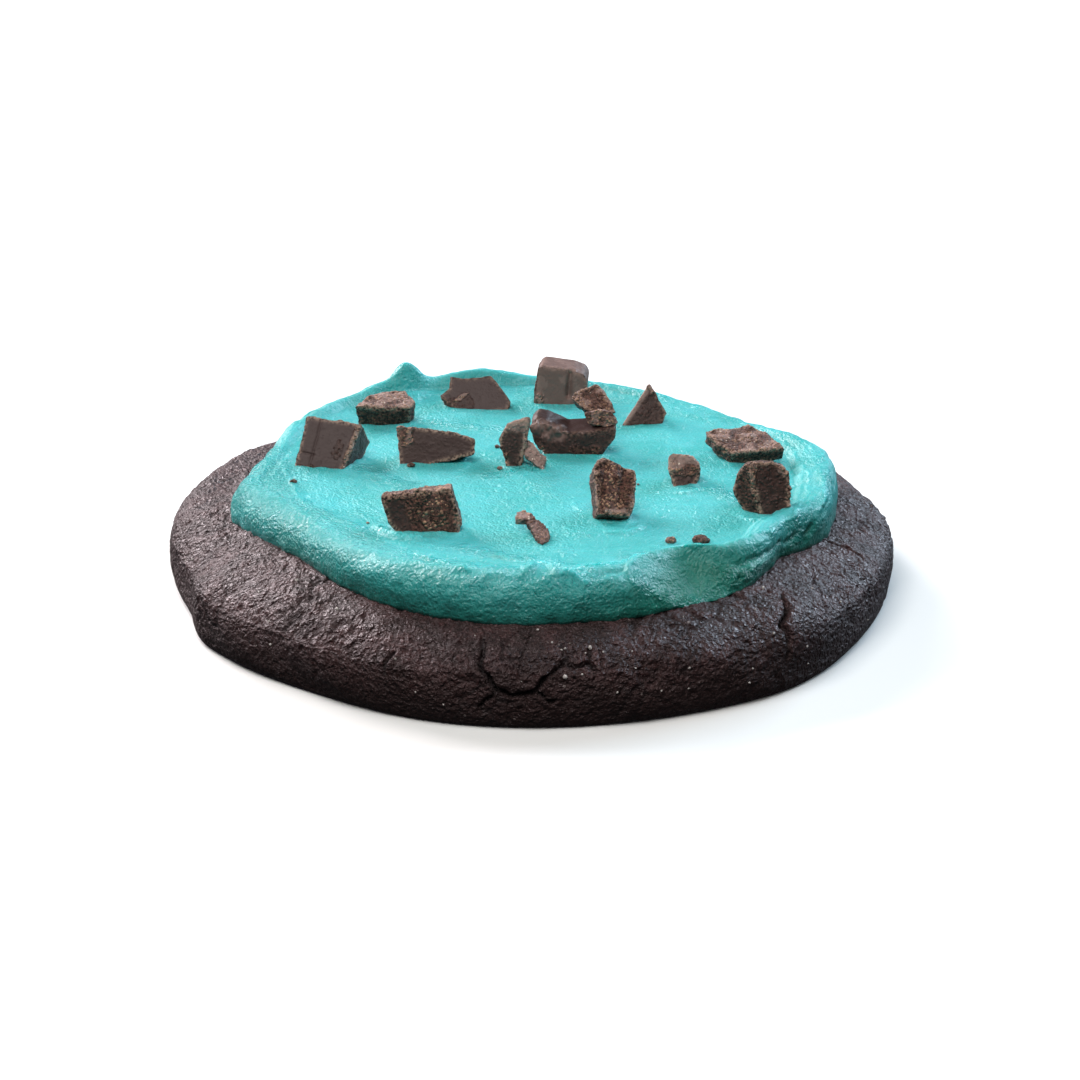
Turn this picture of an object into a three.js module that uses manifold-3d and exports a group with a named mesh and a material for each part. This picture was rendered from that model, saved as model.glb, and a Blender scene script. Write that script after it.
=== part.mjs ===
// A dark chocolate cookie with a thick layer of mint green frosting and chopped dark chocolate on top.
// Millimetres, +Z up. The origin is the middle of the flat underside, and -Y is the front.

import * as THREE from 'three';
import { ParametricGeometry } from 'three/addons/geometries/ParametricGeometry.js';
import { mergeVertices } from 'three/addons/utils/BufferGeometryUtils.js';
import Module from 'manifold-3d';

// The cookie: a low dome with a round edge that stands on a flat underside
const COOKIE_RADIUS = 50;
const COOKIE_HEIGHT = 13.6;
const WAIST_HEIGHT = 7;
const FOOT_RADIUS = 48.3;
const DOME_POWER = 3.5;
const EDGE_POWER = 2.6;
const COOKIE_SECTORS = 96;
const COOKIE_UNEVENNESS = 0.35;
const COOKIE_WAVELENGTH = 13;
const COVERED_RADIUS = 37;
const BARE_RADIUS = 43;

// Places round the edge where the cookie swells or shrinks: angle in degrees, amount, spread in degrees
const COOKIE_SWELLS = [
  { at: 154, by: 1.6, spread: 22 },
  { at: 208, by: 0.7, spread: 4 },
  { at: 234, by: -1.4, spread: 12 },
  { at: 311, by: 0.8, spread: 9 },
  { at: 334, by: -0.4, spread: 8 },
];

// At the left the edge is pressed in, less at the foot than above it
const PRESSED_ANGLE = 198;
const PRESSED_SPREAD = 8;
const PRESSED_DEPTH = 1.8;
const PRESSED_FOOT_DEPTH = 1.2;
const PRESSED_FROM = 1;
const PRESSED_TO = 4;

// Cracks in the baked edge, each a path of places [x, height] seen from the front
const CRACK_WIDTH = 0.7;
const CRACK_DEPTH = 1.1;
const CRACK_OVERSHOOT = 1.2;
const CRACKS = [
  [[-5.9, 10], [-6, 8.9], [-5.4, 7.5], [-4.4, 6], [-2.5, 5.4], [-0.2, 5.4], [1.9, 7.2], [3.1, 8.7],
    [4.4, 9.3]],
  [[4.4, 9.2], [6.7, 8.8], [8, 8.2]],
  [[0, 5.5], [2.2, 4.3]],
  [[31.5, 10.1], [31.6, 9], [31.9, 7.4], [31.6, 5.2]],
  [[39.4, 11.4], [42, 10.7], [44.3, 9.7]],
];

// The frosting: a spread layer with a raised rim round a shallow dish
const FROSTING_SECTORS = 120;
const FROSTING_RADIUS = 42.3;
const RIM_HEIGHT = 17;
const DISH_HEIGHT = 16;
const CREST_INSET = 2.4;
const BAND_INSET = 4;
const BAND_FALL = 0.45;
const DISH_SLOPE = 1.4;
const WALL_ROUNDNESS = 0.7;
const WALL_TUCK = 0.4;
const DISH_UNEVENNESS = 0.3;
const DISH_WAVELENGTH = 19;
const GAP = 0.3;

// Where the frosting's outline bulges out or draws in
const OUTLINE_SWELLS = [
  { at: 7, by: 1, spread: 8 },
  { at: 40, by: -3.3, spread: 20 },
  { at: 168, by: -3.3, spread: 13 },
  { at: 190, by: 1.1, spread: 3.5 },
  { at: 217, by: -3.5, spread: 14 },
  { at: 270, by: 1.4, spread: 22 },
  { at: 325, by: -2.2, spread: 6 },
];

// Where the rim stands higher or lower: a pulled-up peak and a hump at the back, a low front left
const RIM_SWELLS = [
  { at: 5, by: 0.5, spread: 14 },
  { at: 48, by: -0.4, spread: 12 },
  { at: 101, by: 1.6, spread: 7 },
  { at: 118.5, by: 3.4, spread: 2.7 },
  { at: 125, by: 0.7, spread: 8 },
  { at: 150, by: 0.6, spread: 12 },
  { at: 207, by: -0.3, spread: 18 },
];

// Where the rim's crest lies further in: a broad soft slope at the left, a scooped one at the front right
const CREST_SWELLS = [
  { at: 200, by: 2, spread: 20 },
  { at: 298, by: 3.2, spread: 6 },
];

// Where the band between the crest and the dish is broader
const BAND_SWELLS = [
  { at: 215, by: 1.8, spread: 14 },
  { at: 252, by: 4.2, spread: 16 },
  { at: 294, by: 2.8, spread: 6 },
  { at: 318, by: -1.2, spread: 10 },
  { at: 357, by: 1.2, spread: 12 },
];

// Where the wall is a soft slope or a scoop, where the number is larger than one
const WALL_SWELLS = [
  { at: 200, by: 0.25, spread: 22 },
  { at: 302, by: 1.4, spread: 7 },
];

// Chopped pieces of chocolate. Each has a face with straight edges, given as corners [right, up] from its
// foot, and goes back from that face by its thickness, tapering and shifting on the way. A lean of 90
// degrees lays the face on top. A cut takes away what lies beyond its reach in the direction it faces.
const EDGE_BEVEL = 0.2;
const PIECE_SINK = 0.8;
const CUT_SIZE = 40;
const PIECES = {
  chocolate_left_block: {
    at: [-29.7, 0],
    face: [[-1.9, 7.9], [6, 6.6], [2.9, -1.8], [-3.5, -0.4]],
    thick: 5,
    taper: 0.5,
    shift: [3.4, 0.6],
    lean: 36,
  },
  chocolate_back_left_slab: {
    at: [-21.8, 18.6],
    lift: 2.8,
    face: [[-4.3, 1.8], [-2.4, 5.1], [0, 6.3], [2.9, 6.3], [4.7, 3.4], [3.9, 1.6], [0.3, 1.2]],
    thick: 3.9,
    taper: 0.9,
    shift: [0, 0.4],
    lean: 76,
  },
  chocolate_middle_wedge: {
    at: [-14.3, 2.5],
    face: [[-4.9, 5.4], [-4, 5.6], [-1.3, 5.3], [3.9, 4.6], [6.6, 3.6], [6.3, 1.4], [0.7, 0], [-2.4, -1],
      [-4.1, -1.2]],
    thick: 3.6,
    taper: 0.75,
    shift: [0.2, 0],
    lean: 26,
    cuts: [{ facing: [-0.7, -0.7, 0.5], reach: 5.1 }],
  },
  chocolate_back_plate: {
    at: [-7.9, 26.7],
    face: [[-4.6, 5.7], [-2.1, 5.4], [1.6, 5.8], [2.5, 4.9], [4.8, 1.6], [4.2, 0], [-2.9, -1.2], [-4.6, -0.4],
      [-6.2, 2.5], [-4.7, 3.6]],
    thick: 3.4,
    taper: 0.8,
    shift: [0.2, 0.2],
    lean: 42,
    cuts: [{ facing: [-0.5, -0.8, -0.1], reach: 1.6 }],
  },
  chocolate_back_block: {
    at: [3.4, 30.2],
    face: [[-3.6, -1.4], [-2.9, 3.6], [-2.8, 5.4], [-2.2, 5.9], [2.4, 5.3], [4.3, 4.6], [4.9, 3.6],
      [4.3, -1.4]],
    thick: 5.2,
    taper: 0.95,
    shift: [0.6, 1],
    lean: 8,
  },
  chocolate_curved_lump: {
    at: [6.5, 5.9],
    face: [[-6.9, 4.1], [-6, 4.9], [-4.6, 4.7], [-1.4, 3.2], [1.7, 3.4], [5.3, 4], [5.3, 2.6], [4, 0.6],
      [2.4, -1.6], [-3.5, -1.6], [-6.3, 1.6]],
    thick: 5,
    taper: 0.92,
    shift: [0.1, 1],
    lean: 4,
  },
  chocolate_folded_curl: {
    beside: 'chocolate_curved_lump',
    at: [-2.4, 1.7],
    face: [[-0.9, 6.2], [1.2, 6.8], [1.8, 7], [1.7, 5.1], [1.4, 3], [0.5, -1.4], [-0.7, -1.4], [-2.1, 3.6]],
    thick: 2.6,
    taper: 0.75,
    shift: [0.2, 0.2],
    lean: 10,
    cuts: [{ facing: [-0.35, -0.6, 0.7], reach: 4.1 }],
  },
  chocolate_resting_flake: {
    beside: 'chocolate_curved_lump',
    at: [9.6, 9.2],
    lift: 4.6,
    face: [[-0.5, 5.5], [0.6, 4.7], [2.5, 0.8], [0, 0.4], [-2.1, 1.1], [-4.2, 3], [-3.8, 3.8], [-2.6, 4.7]],
    thick: 2.2,
    taper: 0.8,
    shift: [0.1, 0.1],
    lean: 46,
  },
  chocolate_back_pyramid: {
    at: [16.5, 20.5],
    face: [[0.6, 6.1], [-3.5, 0.1], [-3, -1.2], [2, -1.2], [3.4, 1.9], [2.2, 3.9], [1.9, 4.9]],
    thick: 3.6,
    taper: 0.55,
    shift: [-0.4, -0.4],
    lean: 30,
  },
  chocolate_right_slab: {
    at: [28, 2.1],
    lift: 2,
    face: [[-3.7, 4.8], [2.5, 6.2], [5, 4.6], [7.3, 0.7], [-0.3, -0.5], [-2.4, 1.9]],
    thick: 2.4,
    taper: 0.96,
    shift: [0.1, 0.3],
    lean: 72,
  },
  chocolate_right_block: {
    at: [31, -17.7],
    face: [[-4.8, 2.9], [-4.4, 5.1], [-3.1, 6.7], [-2.3, 7.1], [0.6, 7.1], [2, 6.6], [2.8, 5.1], [3, 3.6],
      [2.8, 0.6], [1.4, -1.2], [-1.6, -1.2], [-3.6, 0.6]],
    thick: 4.4,
    taper: 0.85,
    shift: [0.2, 0],
    lean: 10,
    cuts: [{ facing: [-0.55, -0.83, 0], reach: 0.5 }, { facing: [0.85, -0.5, 0.1], reach: 2.4 }],
  },
  chocolate_front_left_plate: {
    at: [-14.1, -23.9],
    face: [[-5.3, 4.6], [3.8, 5.8], [5.2, 0.9], [4.6, -0.8], [-1.5, -1.4], [-2.8, -0.6], [-4.5, 1.1]],
    thick: 2.2,
    taper: 0.97,
    shift: [0.1, 0.5],
    lean: 12,
  },
  chocolate_front_prism: {
    at: [10.5, -20.6],
    lift: 1.2,
    face: [[0.7, 8.3], [-0.3, 8], [-1, 7.1], [-2, 0.1], [2.4, -0.7], [3.6, 1.6], [4.4, 4.7], [4.4, 5.9],
      [2.9, 7]],
    thick: 3.4,
    taper: 0.95,
    shift: [-0.1, 0],
    lean: 45,
    turn: 16,
  },
  chocolate_small_lump: {
    at: [20.7, -6.6],
    face: [[-2.1, 4.3], [-1.4, 4.7], [1.1, 4.3], [2.1, 3.4], [2.3, 1.8], [1.4, -0.4], [-0.6, -1.2],
      [-1.4, -0.4], [-2.2, 2.6]],
    thick: 2.8,
    taper: 0.8,
    shift: [0.1, 0],
    lean: 30,
    cuts: [{ facing: [0, -0.95, -0.3], reach: 0.2 }],
  },
};

// Small shards and crumbs that are part of the frosting's surface
const SHARDS = [
  {
    at: [1.1, 0.8],
    face: [[-2, 3.5], [-1.2, 3.3], [0.8, 1.5], [0.3, -0.8], [-0.9, 0.8]],
    thick: 0.9,
    lean: 40,
  },
  {
    at: [1.2, -28.2],
    lift: 0.7,
    face: [[-3.2, 4.5], [-1.4, 5.6], [1.2, 1], [0.1, -1.2], [-2.2, 3.2]],
    thick: 1.2,
    lean: 75,
  },
];
const CRUMBS = [
  { at: [17.6, -27.8], lift: 0.4, radius: 0.7 },
  { at: [21.5, -28.7], lift: 0.4, radius: 0.95 },
];

const FROSTING_COLOR = 0x52c9c4;
const COOKIE_COLOR = 0x2c211f;
const CHOCOLATE_COLOR = 0x35241f;

const wasm = await Module();
wasm.setup();

const WELD_DISTANCE = 1e-4;
const SMALL_STEP = 0.01;

// A closed geometry as a solid that can be joined and cut
function toSolid(geometry) {
  const shell = geometry.clone();
  shell.deleteAttribute('normal');
  shell.deleteAttribute('uv');
  const welded = mergeVertices(shell, WELD_DISTANCE);
  const corners = welded.index.array;
  const triangles = [];
  for (let i = 0; i < corners.length; i += 3) {
    const [a, b, c] = corners.slice(i, i + 3);
    if (a !== b && b !== c && c !== a) {
      triangles.push(a, b, c);
    }
  }
  return new wasm.Manifold(new wasm.Mesh({
    numProp: 3,
    vertProperties: new Float32Array(welded.attributes.position.array),
    triVerts: new Uint32Array(triangles),
  }));
}

// A solid as geometry again
function toGeometry(solid) {
  const { vertProperties, triVerts } = solid.getMesh();
  const geometry = new THREE.BufferGeometry();
  geometry.setAttribute('position', new THREE.BufferAttribute(vertProperties, 3));
  geometry.setIndex(new THREE.BufferAttribute(triVerts, 1));
  geometry.computeVertexNormals();
  return geometry;
}

function smoothstep(value, low, high) {
  return THREE.MathUtils.smoothstep(value, low, high);
}

// A base value with soft bumps added round the circle
function aroundRim(degrees, base, swells) {
  let value = base;
  for (const { at, by, spread } of swells) {
    const away = THREE.MathUtils.euclideanModulo(degrees - at + 180, 360) - 180;
    value += by * Math.exp(-0.5 * (away / spread) ** 2);
  }
  return value;
}

// Soft unevenness from -1 to 1: waves that cross at the golden angle
const GOLDEN_ANGLE = 2.39996;
const WAVES = 5;
function unevenness(x, y, wavelength) {
  let sum = 0;
  for (let i = 0; i < WAVES; i++) {
    const across = x * Math.cos(i * GOLDEN_ANGLE) + y * Math.sin(i * GOLDEN_ANGLE);
    sum += Math.sin((across / (wavelength * (1 + 0.17 * i))) * 2 * Math.PI + 1.7 * i);
  }
  return sum / (0.6 * WAVES);
}

// The height of the smooth cookie's top at a distance from its middle
function cookieTop(radius) {
  const share = Math.min(1, radius / COOKIE_RADIUS);
  return WAIST_HEIGHT + (COOKIE_HEIGHT - WAIST_HEIGHT) * Math.sqrt(1 - share ** DOME_POWER);
}

// The smooth cookie's radius at a height
function cookieRadius(height) {
  if (height >= WAIST_HEIGHT) {
    const rise = (height - WAIST_HEIGHT) / (COOKIE_HEIGHT - WAIST_HEIGHT);
    return COOKIE_RADIUS * (1 - rise ** 2) ** (1 / DOME_POWER);
  }
  const drop = 1 - height / WAIST_HEIGHT;
  return FOOT_RADIUS + (COOKIE_RADIUS - FOOT_RADIUS) * (1 - drop ** EDGE_POWER) ** (1 / EDGE_POWER);
}

// How fast the smooth cookie's radius changes with the height
function cookieSlope(height) {
  return (cookieRadius(height + SMALL_STEP) - cookieRadius(height - SMALL_STEP)) / (2 * SMALL_STEP);
}

// How far the cookie's baked surface stands out from the smooth one
function cookieRelief(degrees, radius, height) {
  const angle = THREE.MathUtils.degToRad(degrees);
  const x = radius * Math.cos(angle);
  const y = radius * Math.sin(angle);
  const bare = smoothstep(radius, COVERED_RADIUS, BARE_RADIUS);
  const rough = COOKIE_UNEVENNESS * smoothstep(height, 0, WAIST_HEIGHT / 2);
  const lumps = rough * unevenness(x + height, y - height, COOKIE_WAVELENGTH);
  const pressed = aroundRim(degrees, 0, [{ at: PRESSED_ANGLE, by: 1, spread: PRESSED_SPREAD }]);
  const side = smoothstep(radius, BARE_RADIUS, COOKIE_RADIUS - 1);
  const aboveFoot = smoothstep(height, PRESSED_FROM, PRESSED_TO);
  const press = THREE.MathUtils.lerp(PRESSED_FOOT_DEPTH, PRESSED_DEPTH, aboveFoot);
  return bare * (lumps + side * (aroundRim(degrees, 0, COOKIE_SWELLS) - pressed * press));
}

// The cookie's outline at an angle, from the middle of the underside round the edge to the middle of the top
const LOWER_HEIGHTS = [0, 0.4, 1.2, 2.4, 4, 5.5];
const UPPER_HEIGHTS = [7, 8.2, 9.2, 10.1, 10.9, 11.5, 12, 12.4];
const COVERED_SHARES = [0.6, 0.3, 0];
function cookieProfile(degrees) {
  const points = [[0, 0], [0.5 * FOOT_RADIUS, 0]];
  for (const height of [...LOWER_HEIGHTS, ...UPPER_HEIGHTS]) {
    const radius = cookieRadius(height);
    const out = new THREE.Vector2(1, height > WAIST_HEIGHT ? -cookieSlope(height) : 0).normalize();
    const relief = cookieRelief(degrees, radius, height);
    points.push([radius + out.x * relief, height + out.y * relief]);
  }
  const coveredRadius = cookieRadius(UPPER_HEIGHTS.at(-1));
  for (const share of COVERED_SHARES) {
    points.push([share * coveredRadius, cookieTop(share * coveredRadius)]);
  }
  return points;
}

// A closed body from the outlines at evenly spread angles
function revolve(profileAt, sectors) {
  const profiles = [];
  for (let i = 0; i < sectors; i++) {
    profiles.push(profileAt((i * 360) / sectors));
  }
  const rings = profiles[0].length - 1;
  const place = (u, v, target) => {
    const sector = Math.round(u * sectors) % sectors;
    const [radius, height] = profiles[sector][Math.round(v * rings)];
    const angle = (sector / sectors) * 2 * Math.PI;
    target.set(radius * Math.cos(angle), radius * Math.sin(angle), height);
  };
  return new ParametricGeometry(place, sectors, rings);
}

// A place on the front half of the smooth cookie, and the direction straight out of it
function frontPlace([x, height]) {
  const radius = cookieRadius(height);
  const place = new THREE.Vector3(x, -Math.sqrt(radius ** 2 - x ** 2), height);
  const out = new THREE.Vector3(place.x / radius, place.y / radius, -cookieSlope(height)).normalize();
  return { place, out };
}

// One straight stretch of a crack: a long wedge with its point inside the cookie
function crackWedge(from, to) {
  const start = frontPlace(from);
  const end = frontPlace(to);
  const run = end.place.clone().sub(start.place);
  const out = start.out.clone().add(end.out).normalize();
  const along = run.clone().normalize();
  const across = new THREE.Vector3().crossVectors(out, along).normalize();
  out.crossVectors(along, across);
  const reach = 1 + CRACK_OVERSHOOT / CRACK_DEPTH;
  const section = new THREE.Shape([
    new THREE.Vector2(0, -CRACK_DEPTH),
    new THREE.Vector2((reach * CRACK_WIDTH) / 2, CRACK_OVERSHOOT),
    new THREE.Vector2((-reach * CRACK_WIDTH) / 2, CRACK_OVERSHOOT),
  ]);
  const overlap = CRACK_WIDTH / 2;
  const wedge = new THREE.ExtrudeGeometry(section, { depth: run.length() + overlap, bevelEnabled: false });
  wedge.translate(0, 0, -overlap / 2);
  wedge.applyMatrix4(new THREE.Matrix4().makeBasis(across, out, along).setPosition(start.place));
  return wedge;
}

function cookieSolid() {
  let cookie = toSolid(revolve(cookieProfile, COOKIE_SECTORS));
  for (const path of CRACKS) {
    for (let i = 1; i < path.length; i++) {
      cookie = cookie.subtract(toSolid(crackWedge(path[i - 1], path[i])));
    }
  }
  return cookie;
}

// The height of the dish's surface
function dishHeight(x, y) {
  return DISH_HEIGHT + DISH_UNEVENNESS * unevenness(x, y, DISH_WAVELENGTH);
}

// The frosting's outline at an angle, from the middle of its underside round the rim to the middle of its top
const UNDER_SHARES = [0, 0.35, 0.65, 0.85, 0.93, 0.98];
const WALL_STEPS = 7;
const DISH_SHARES = [0.93, 0.8, 0.6, 0.4, 0.2, 0];
function frostingProfile(degrees) {
  const angle = THREE.MathUtils.degToRad(degrees);
  const outline = aroundRim(degrees, FROSTING_RADIUS, OUTLINE_SWELLS);
  const crestHeight = aroundRim(degrees, RIM_HEIGHT, RIM_SWELLS);
  const crestInset = aroundRim(degrees, CREST_INSET, CREST_SWELLS);
  const bandInset = Math.max(crestInset + 1, aroundRim(degrees, BAND_INSET, BAND_SWELLS));
  const roundness = aroundRim(degrees, WALL_ROUNDNESS, WALL_SWELLS);
  const underside = (radius) => cookieTop(radius) + cookieRelief(degrees, radius, cookieTop(radius)) + GAP;
  const contact = outline - WALL_TUCK;
  const points = [];
  for (const share of UNDER_SHARES) {
    points.push([share * contact, underside(share * contact)]);
  }
  const footHeight = underside(contact);
  for (let i = 0; i <= WALL_STEPS; i++) {
    const turn = (i / WALL_STEPS) * (Math.PI / 2);
    const tuck = WALL_TUCK * (1 - Math.sin(turn)) ** 3;
    const radius = outline - crestInset + crestInset * Math.cos(turn) ** roundness - tuck;
    const height = footHeight + (crestHeight - footHeight) * Math.sin(turn) ** roundness;
    points.push([radius, height]);
  }
  const dishEdge = outline - bandInset - DISH_SLOPE;
  for (const inset of [(crestInset + bandInset) / 2, bandInset, bandInset + DISH_SLOPE]) {
    const radius = outline - inset;
    const raised = crestHeight - dishHeight(radius * Math.cos(angle), radius * Math.sin(angle));
    const overBand = smoothstep(inset, crestInset, bandInset);
    const intoDish = smoothstep(inset, bandInset, bandInset + DISH_SLOPE);
    points.push([radius, crestHeight - raised * THREE.MathUtils.lerp(BAND_FALL * overBand, 1, intoDish)]);
  }
  for (const share of DISH_SHARES) {
    const radius = share * dishEdge;
    points.push([radius, dishHeight(radius * Math.cos(angle), radius * Math.sin(angle))]);
  }
  return points;
}

// A chopped piece with the foot of its front face at the origin, drawn back along +Y and then leant back
function choppedPiece({ face, thick, taper = 1, shift = [0, 0], lean = 0, turn = 0 }, grow = 0) {
  const outline = new THREE.Shape(face.map(([right, up]) => new THREE.Vector2(right, up)));
  const piece = new THREE.ExtrudeGeometry(outline, {
    depth: thick + 2 * (grow - EDGE_BEVEL),
    bevelThickness: EDGE_BEVEL,
    bevelSize: EDGE_BEVEL,
    bevelOffset: grow - EDGE_BEVEL,
    bevelSegments: 1,
  });
  piece.translate(0, 0, EDGE_BEVEL - thick - grow);
  const middleRight = face.reduce((sum, corner) => sum + corner[0], 0) / face.length;
  const middleUp = face.reduce((sum, corner) => sum + corner[1], 0) / face.length;
  const corners = piece.attributes.position;
  for (let i = 0; i < corners.count; i++) {
    const back = THREE.MathUtils.clamp(-corners.getZ(i) / thick, 0, 1);
    const scale = THREE.MathUtils.lerp(1, taper, back);
    corners.setX(i, middleRight + (corners.getX(i) - middleRight) * scale + back * shift[0]);
    corners.setY(i, middleUp + (corners.getY(i) - middleUp) * scale + back * shift[1]);
  }
  piece.rotateX(THREE.MathUtils.degToRad(90 - lean));
  piece.rotateZ(THREE.MathUtils.degToRad(turn));
  return piece;
}

// The point that a topping stands on, a little above or below the dish's surface
function footOf({ at: [x, y], lift = 0 }) {
  return new THREE.Vector3(x, y, dishHeight(x, y) + lift);
}

// A large block that fills the space beyond a plane, given by a place on it and the direction it faces
function beyond(place, facing) {
  const block = new THREE.BoxGeometry(CUT_SIZE, CUT_SIZE, CUT_SIZE);
  block.translate(0, 0, CUT_SIZE / 2);
  const turn = new THREE.Quaternion().setFromUnitVectors(new THREE.Vector3(0, 0, 1), facing);
  return block.applyQuaternion(turn).translate(...place);
}

// A chopped piece in its place, with a level cut where it is pressed into the frosting
function placedPiece(piece, grow = 0) {
  const foot = footOf(piece);
  let body = toSolid(choppedPiece(piece, grow).translate(...foot));
  for (const { facing, reach } of piece.cuts ?? []) {
    const direction = new THREE.Vector3(...facing).normalize();
    const place = foot.clone().addScaledVector(direction, reach + grow);
    body = body.subtract(toSolid(beyond(place, direction)));
  }
  const seat = new THREE.Vector3(foot.x, foot.y, foot.z - (piece.lift ?? 0) - PIECE_SINK - grow);
  return body.subtract(toSolid(beyond(seat, new THREE.Vector3(0, 0, -1))));
}

// The frosting with its small shards and crumbs, and a pocket under each chopped piece
function frostingSolid() {
  let frosting = toSolid(revolve(frostingProfile, FROSTING_SECTORS));
  for (const shard of SHARDS) {
    frosting = frosting.add(toSolid(choppedPiece(shard).translate(...footOf(shard))));
  }
  for (const crumb of CRUMBS) {
    const lump = new THREE.DodecahedronGeometry(crumb.radius).translate(...footOf(crumb));
    frosting = frosting.add(toSolid(lump));
  }
  for (const piece of Object.values(PIECES)) {
    frosting = frosting.subtract(placedPiece(piece, GAP));
  }
  return frosting;
}

function material(color, roughness) {
  return new THREE.MeshStandardMaterial({ color, roughness, metalness: 0 });
}

const cookie = new THREE.Group();

const base = new THREE.Mesh(toGeometry(cookieSolid()), material(COOKIE_COLOR, 0.8));
base.name = 'cookie';
cookie.add(base);

const frosting = new THREE.Mesh(toGeometry(frostingSolid()), material(FROSTING_COLOR, 0.35));
frosting.name = 'frosting';
cookie.add(frosting);

const toppings = new THREE.Group();
for (const [name, piece] of Object.entries(PIECES)) {
  const foot = footOf(piece);
  let body = placedPiece(piece);
  if (piece.beside) {
    body = body.subtract(placedPiece(PIECES[piece.beside], GAP));
  }
  const geometry = toGeometry(body).translate(-foot.x, -foot.y, -foot.z);
  const mesh = new THREE.Mesh(geometry, material(CHOCOLATE_COLOR, 0.45));
  mesh.name = name;
  mesh.position.copy(foot);
  toppings.add(mesh);
}
cookie.add(toppings);

export default cookie;
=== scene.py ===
# %% [markdown]
# # A frosted chocolate cookie
# A dark, chewy cookie carries a thick layer of mint green buttercream, spread with a knife, and pieces of
# chopped dark chocolate that were dropped on it. The solid model gives every piece its true size and
# place. Blender gives the surfaces that an eye looks for: the wrinkled crust, the strokes and torn lips
# of the frosting, and the snapped, dusty faces of the chocolate. The first step loads the solid model as
# the frame.

# %% Load the frame
import itertools
import math

import bmesh
import bpy
import numpy as np
from mathutils import Matrix, Vector
from mathutils.bvhtree import BVHTree


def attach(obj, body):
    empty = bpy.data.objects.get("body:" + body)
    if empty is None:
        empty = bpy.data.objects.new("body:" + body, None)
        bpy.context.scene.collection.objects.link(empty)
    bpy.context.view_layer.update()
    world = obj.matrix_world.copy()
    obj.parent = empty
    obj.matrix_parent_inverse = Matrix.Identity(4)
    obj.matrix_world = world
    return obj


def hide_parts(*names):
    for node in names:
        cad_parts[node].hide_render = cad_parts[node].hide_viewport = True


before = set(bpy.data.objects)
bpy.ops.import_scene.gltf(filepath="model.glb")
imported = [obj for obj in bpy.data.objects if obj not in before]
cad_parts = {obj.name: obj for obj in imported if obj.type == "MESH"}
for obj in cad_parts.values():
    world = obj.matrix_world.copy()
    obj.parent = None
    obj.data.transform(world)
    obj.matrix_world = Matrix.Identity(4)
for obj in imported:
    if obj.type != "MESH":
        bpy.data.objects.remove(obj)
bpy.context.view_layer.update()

MM = 0.001
BODY = "root"
print("nodes in the frame:", len(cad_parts))

# %% [markdown]
# ## Helpers for uneven shapes
# Nothing on a cookie is regular, so every shape below is a smooth form plus unevenness. A swell is a soft
# bump at one angle round the cookie. The solid model was made with the same formulas and the same numbers,
# so the surface made here lies on it.

# %% Swells and soft steps
def smoothstep(value, low, high):
    share = np.clip((value - low) / (high - low), 0, 1)
    return share * share * (3 - 2 * share)


def mix(start, end, share):
    return start + (end - start) * share


def bell(away, width):
    """1 at no distance, falling softly towards 0 beyond this width."""
    return np.exp(-((away / width) ** 2))


def bowl(away, radius, flat):
    """1 over this flat share of the radius, and 0 from the radius outwards."""
    return 1 - smoothstep(away, flat * radius, radius)


def level_place(radius, degrees):
    """x and y of a place at this distance from the middle and this angle."""
    return radius * np.cos(np.radians(degrees)), radius * np.sin(np.radians(degrees))


def around_rim(degrees, base, swells):
    """A base value with soft bumps added round the circle: each has an angle, an amount and a spread."""
    value = np.full(np.shape(degrees), float(base))
    for at, by, spread in swells:
        away = (degrees - at + 180) % 360 - 180
        value += by * np.exp(-0.5 * (away / spread) ** 2)
    return value


GOLDEN_ANGLE = 2.39996
WAVES = 5
WAVE_GROWTH = 0.17
WAVE_SHIFT = 1.7
WAVE_SHARE = 0.6


def unevenness(x, y, wavelength):
    """Soft unevenness from -1 to 1: waves that cross at the golden angle, each longer than the last."""
    total = 0
    for i in range(WAVES):
        across = x * np.cos(i * GOLDEN_ANGLE) + y * np.sin(i * GOLDEN_ANGLE)
        longer = wavelength * (1 + WAVE_GROWTH * i)
        total = total + np.sin(across / longer * 2 * np.pi + WAVE_SHIFT * i)
    return total / (WAVE_SHARE * WAVES)


print("a swell at its own angle:", around_rim(np.array([90.0]), 1, [(90, 0.5, 10)])[0])

# %% [markdown]
# ## Noise for whole meshes at once
# Blender has noise functions for one point at a time. Here a small gradient noise in numpy works on all
# points of a mesh together, which is many times faster and gives the same result on every run. A number
# for each corner of a grid comes from mixing its coordinates, and the value inside a cell is blended from
# its eight corners. Cells are the other useful pattern: the distance to the nearest of many scattered
# points gives granules and pits, and the line halfway between two points gives a net of cracks.

# %% Gradient noise and cells
MASK = 0xFFFFFFFF
STRIDES = (374761393, 668265263, 1440662683)
SEED_STRIDE = 974634777
MIXERS = ((13, 1274126177), (16, 668265263))
LAST_SHIFT = 15
PART_BITS = 10
NOISE_HEIGHT = 1.6
OCTAVE_SEED = 17
FAR = 9.0


def scramble(cells, seed):
    """A whole number that looks random for each cell of a grid."""
    number = sum(cells[:, axis].astype(np.int64) * stride for axis, stride in enumerate(STRIDES))
    number = (number + seed * SEED_STRIDE) & MASK
    for shift, factor in MIXERS:
        number = ((number ^ (number >> shift)) * factor) & MASK
    return number ^ (number >> LAST_SHIFT)


def three_parts(number):
    """Three values from 0 to 1 out of one scrambled number."""
    most = 2**PART_BITS - 1
    return np.stack([((number >> part * PART_BITS) & most) / most for part in range(3)], axis=1)


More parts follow.
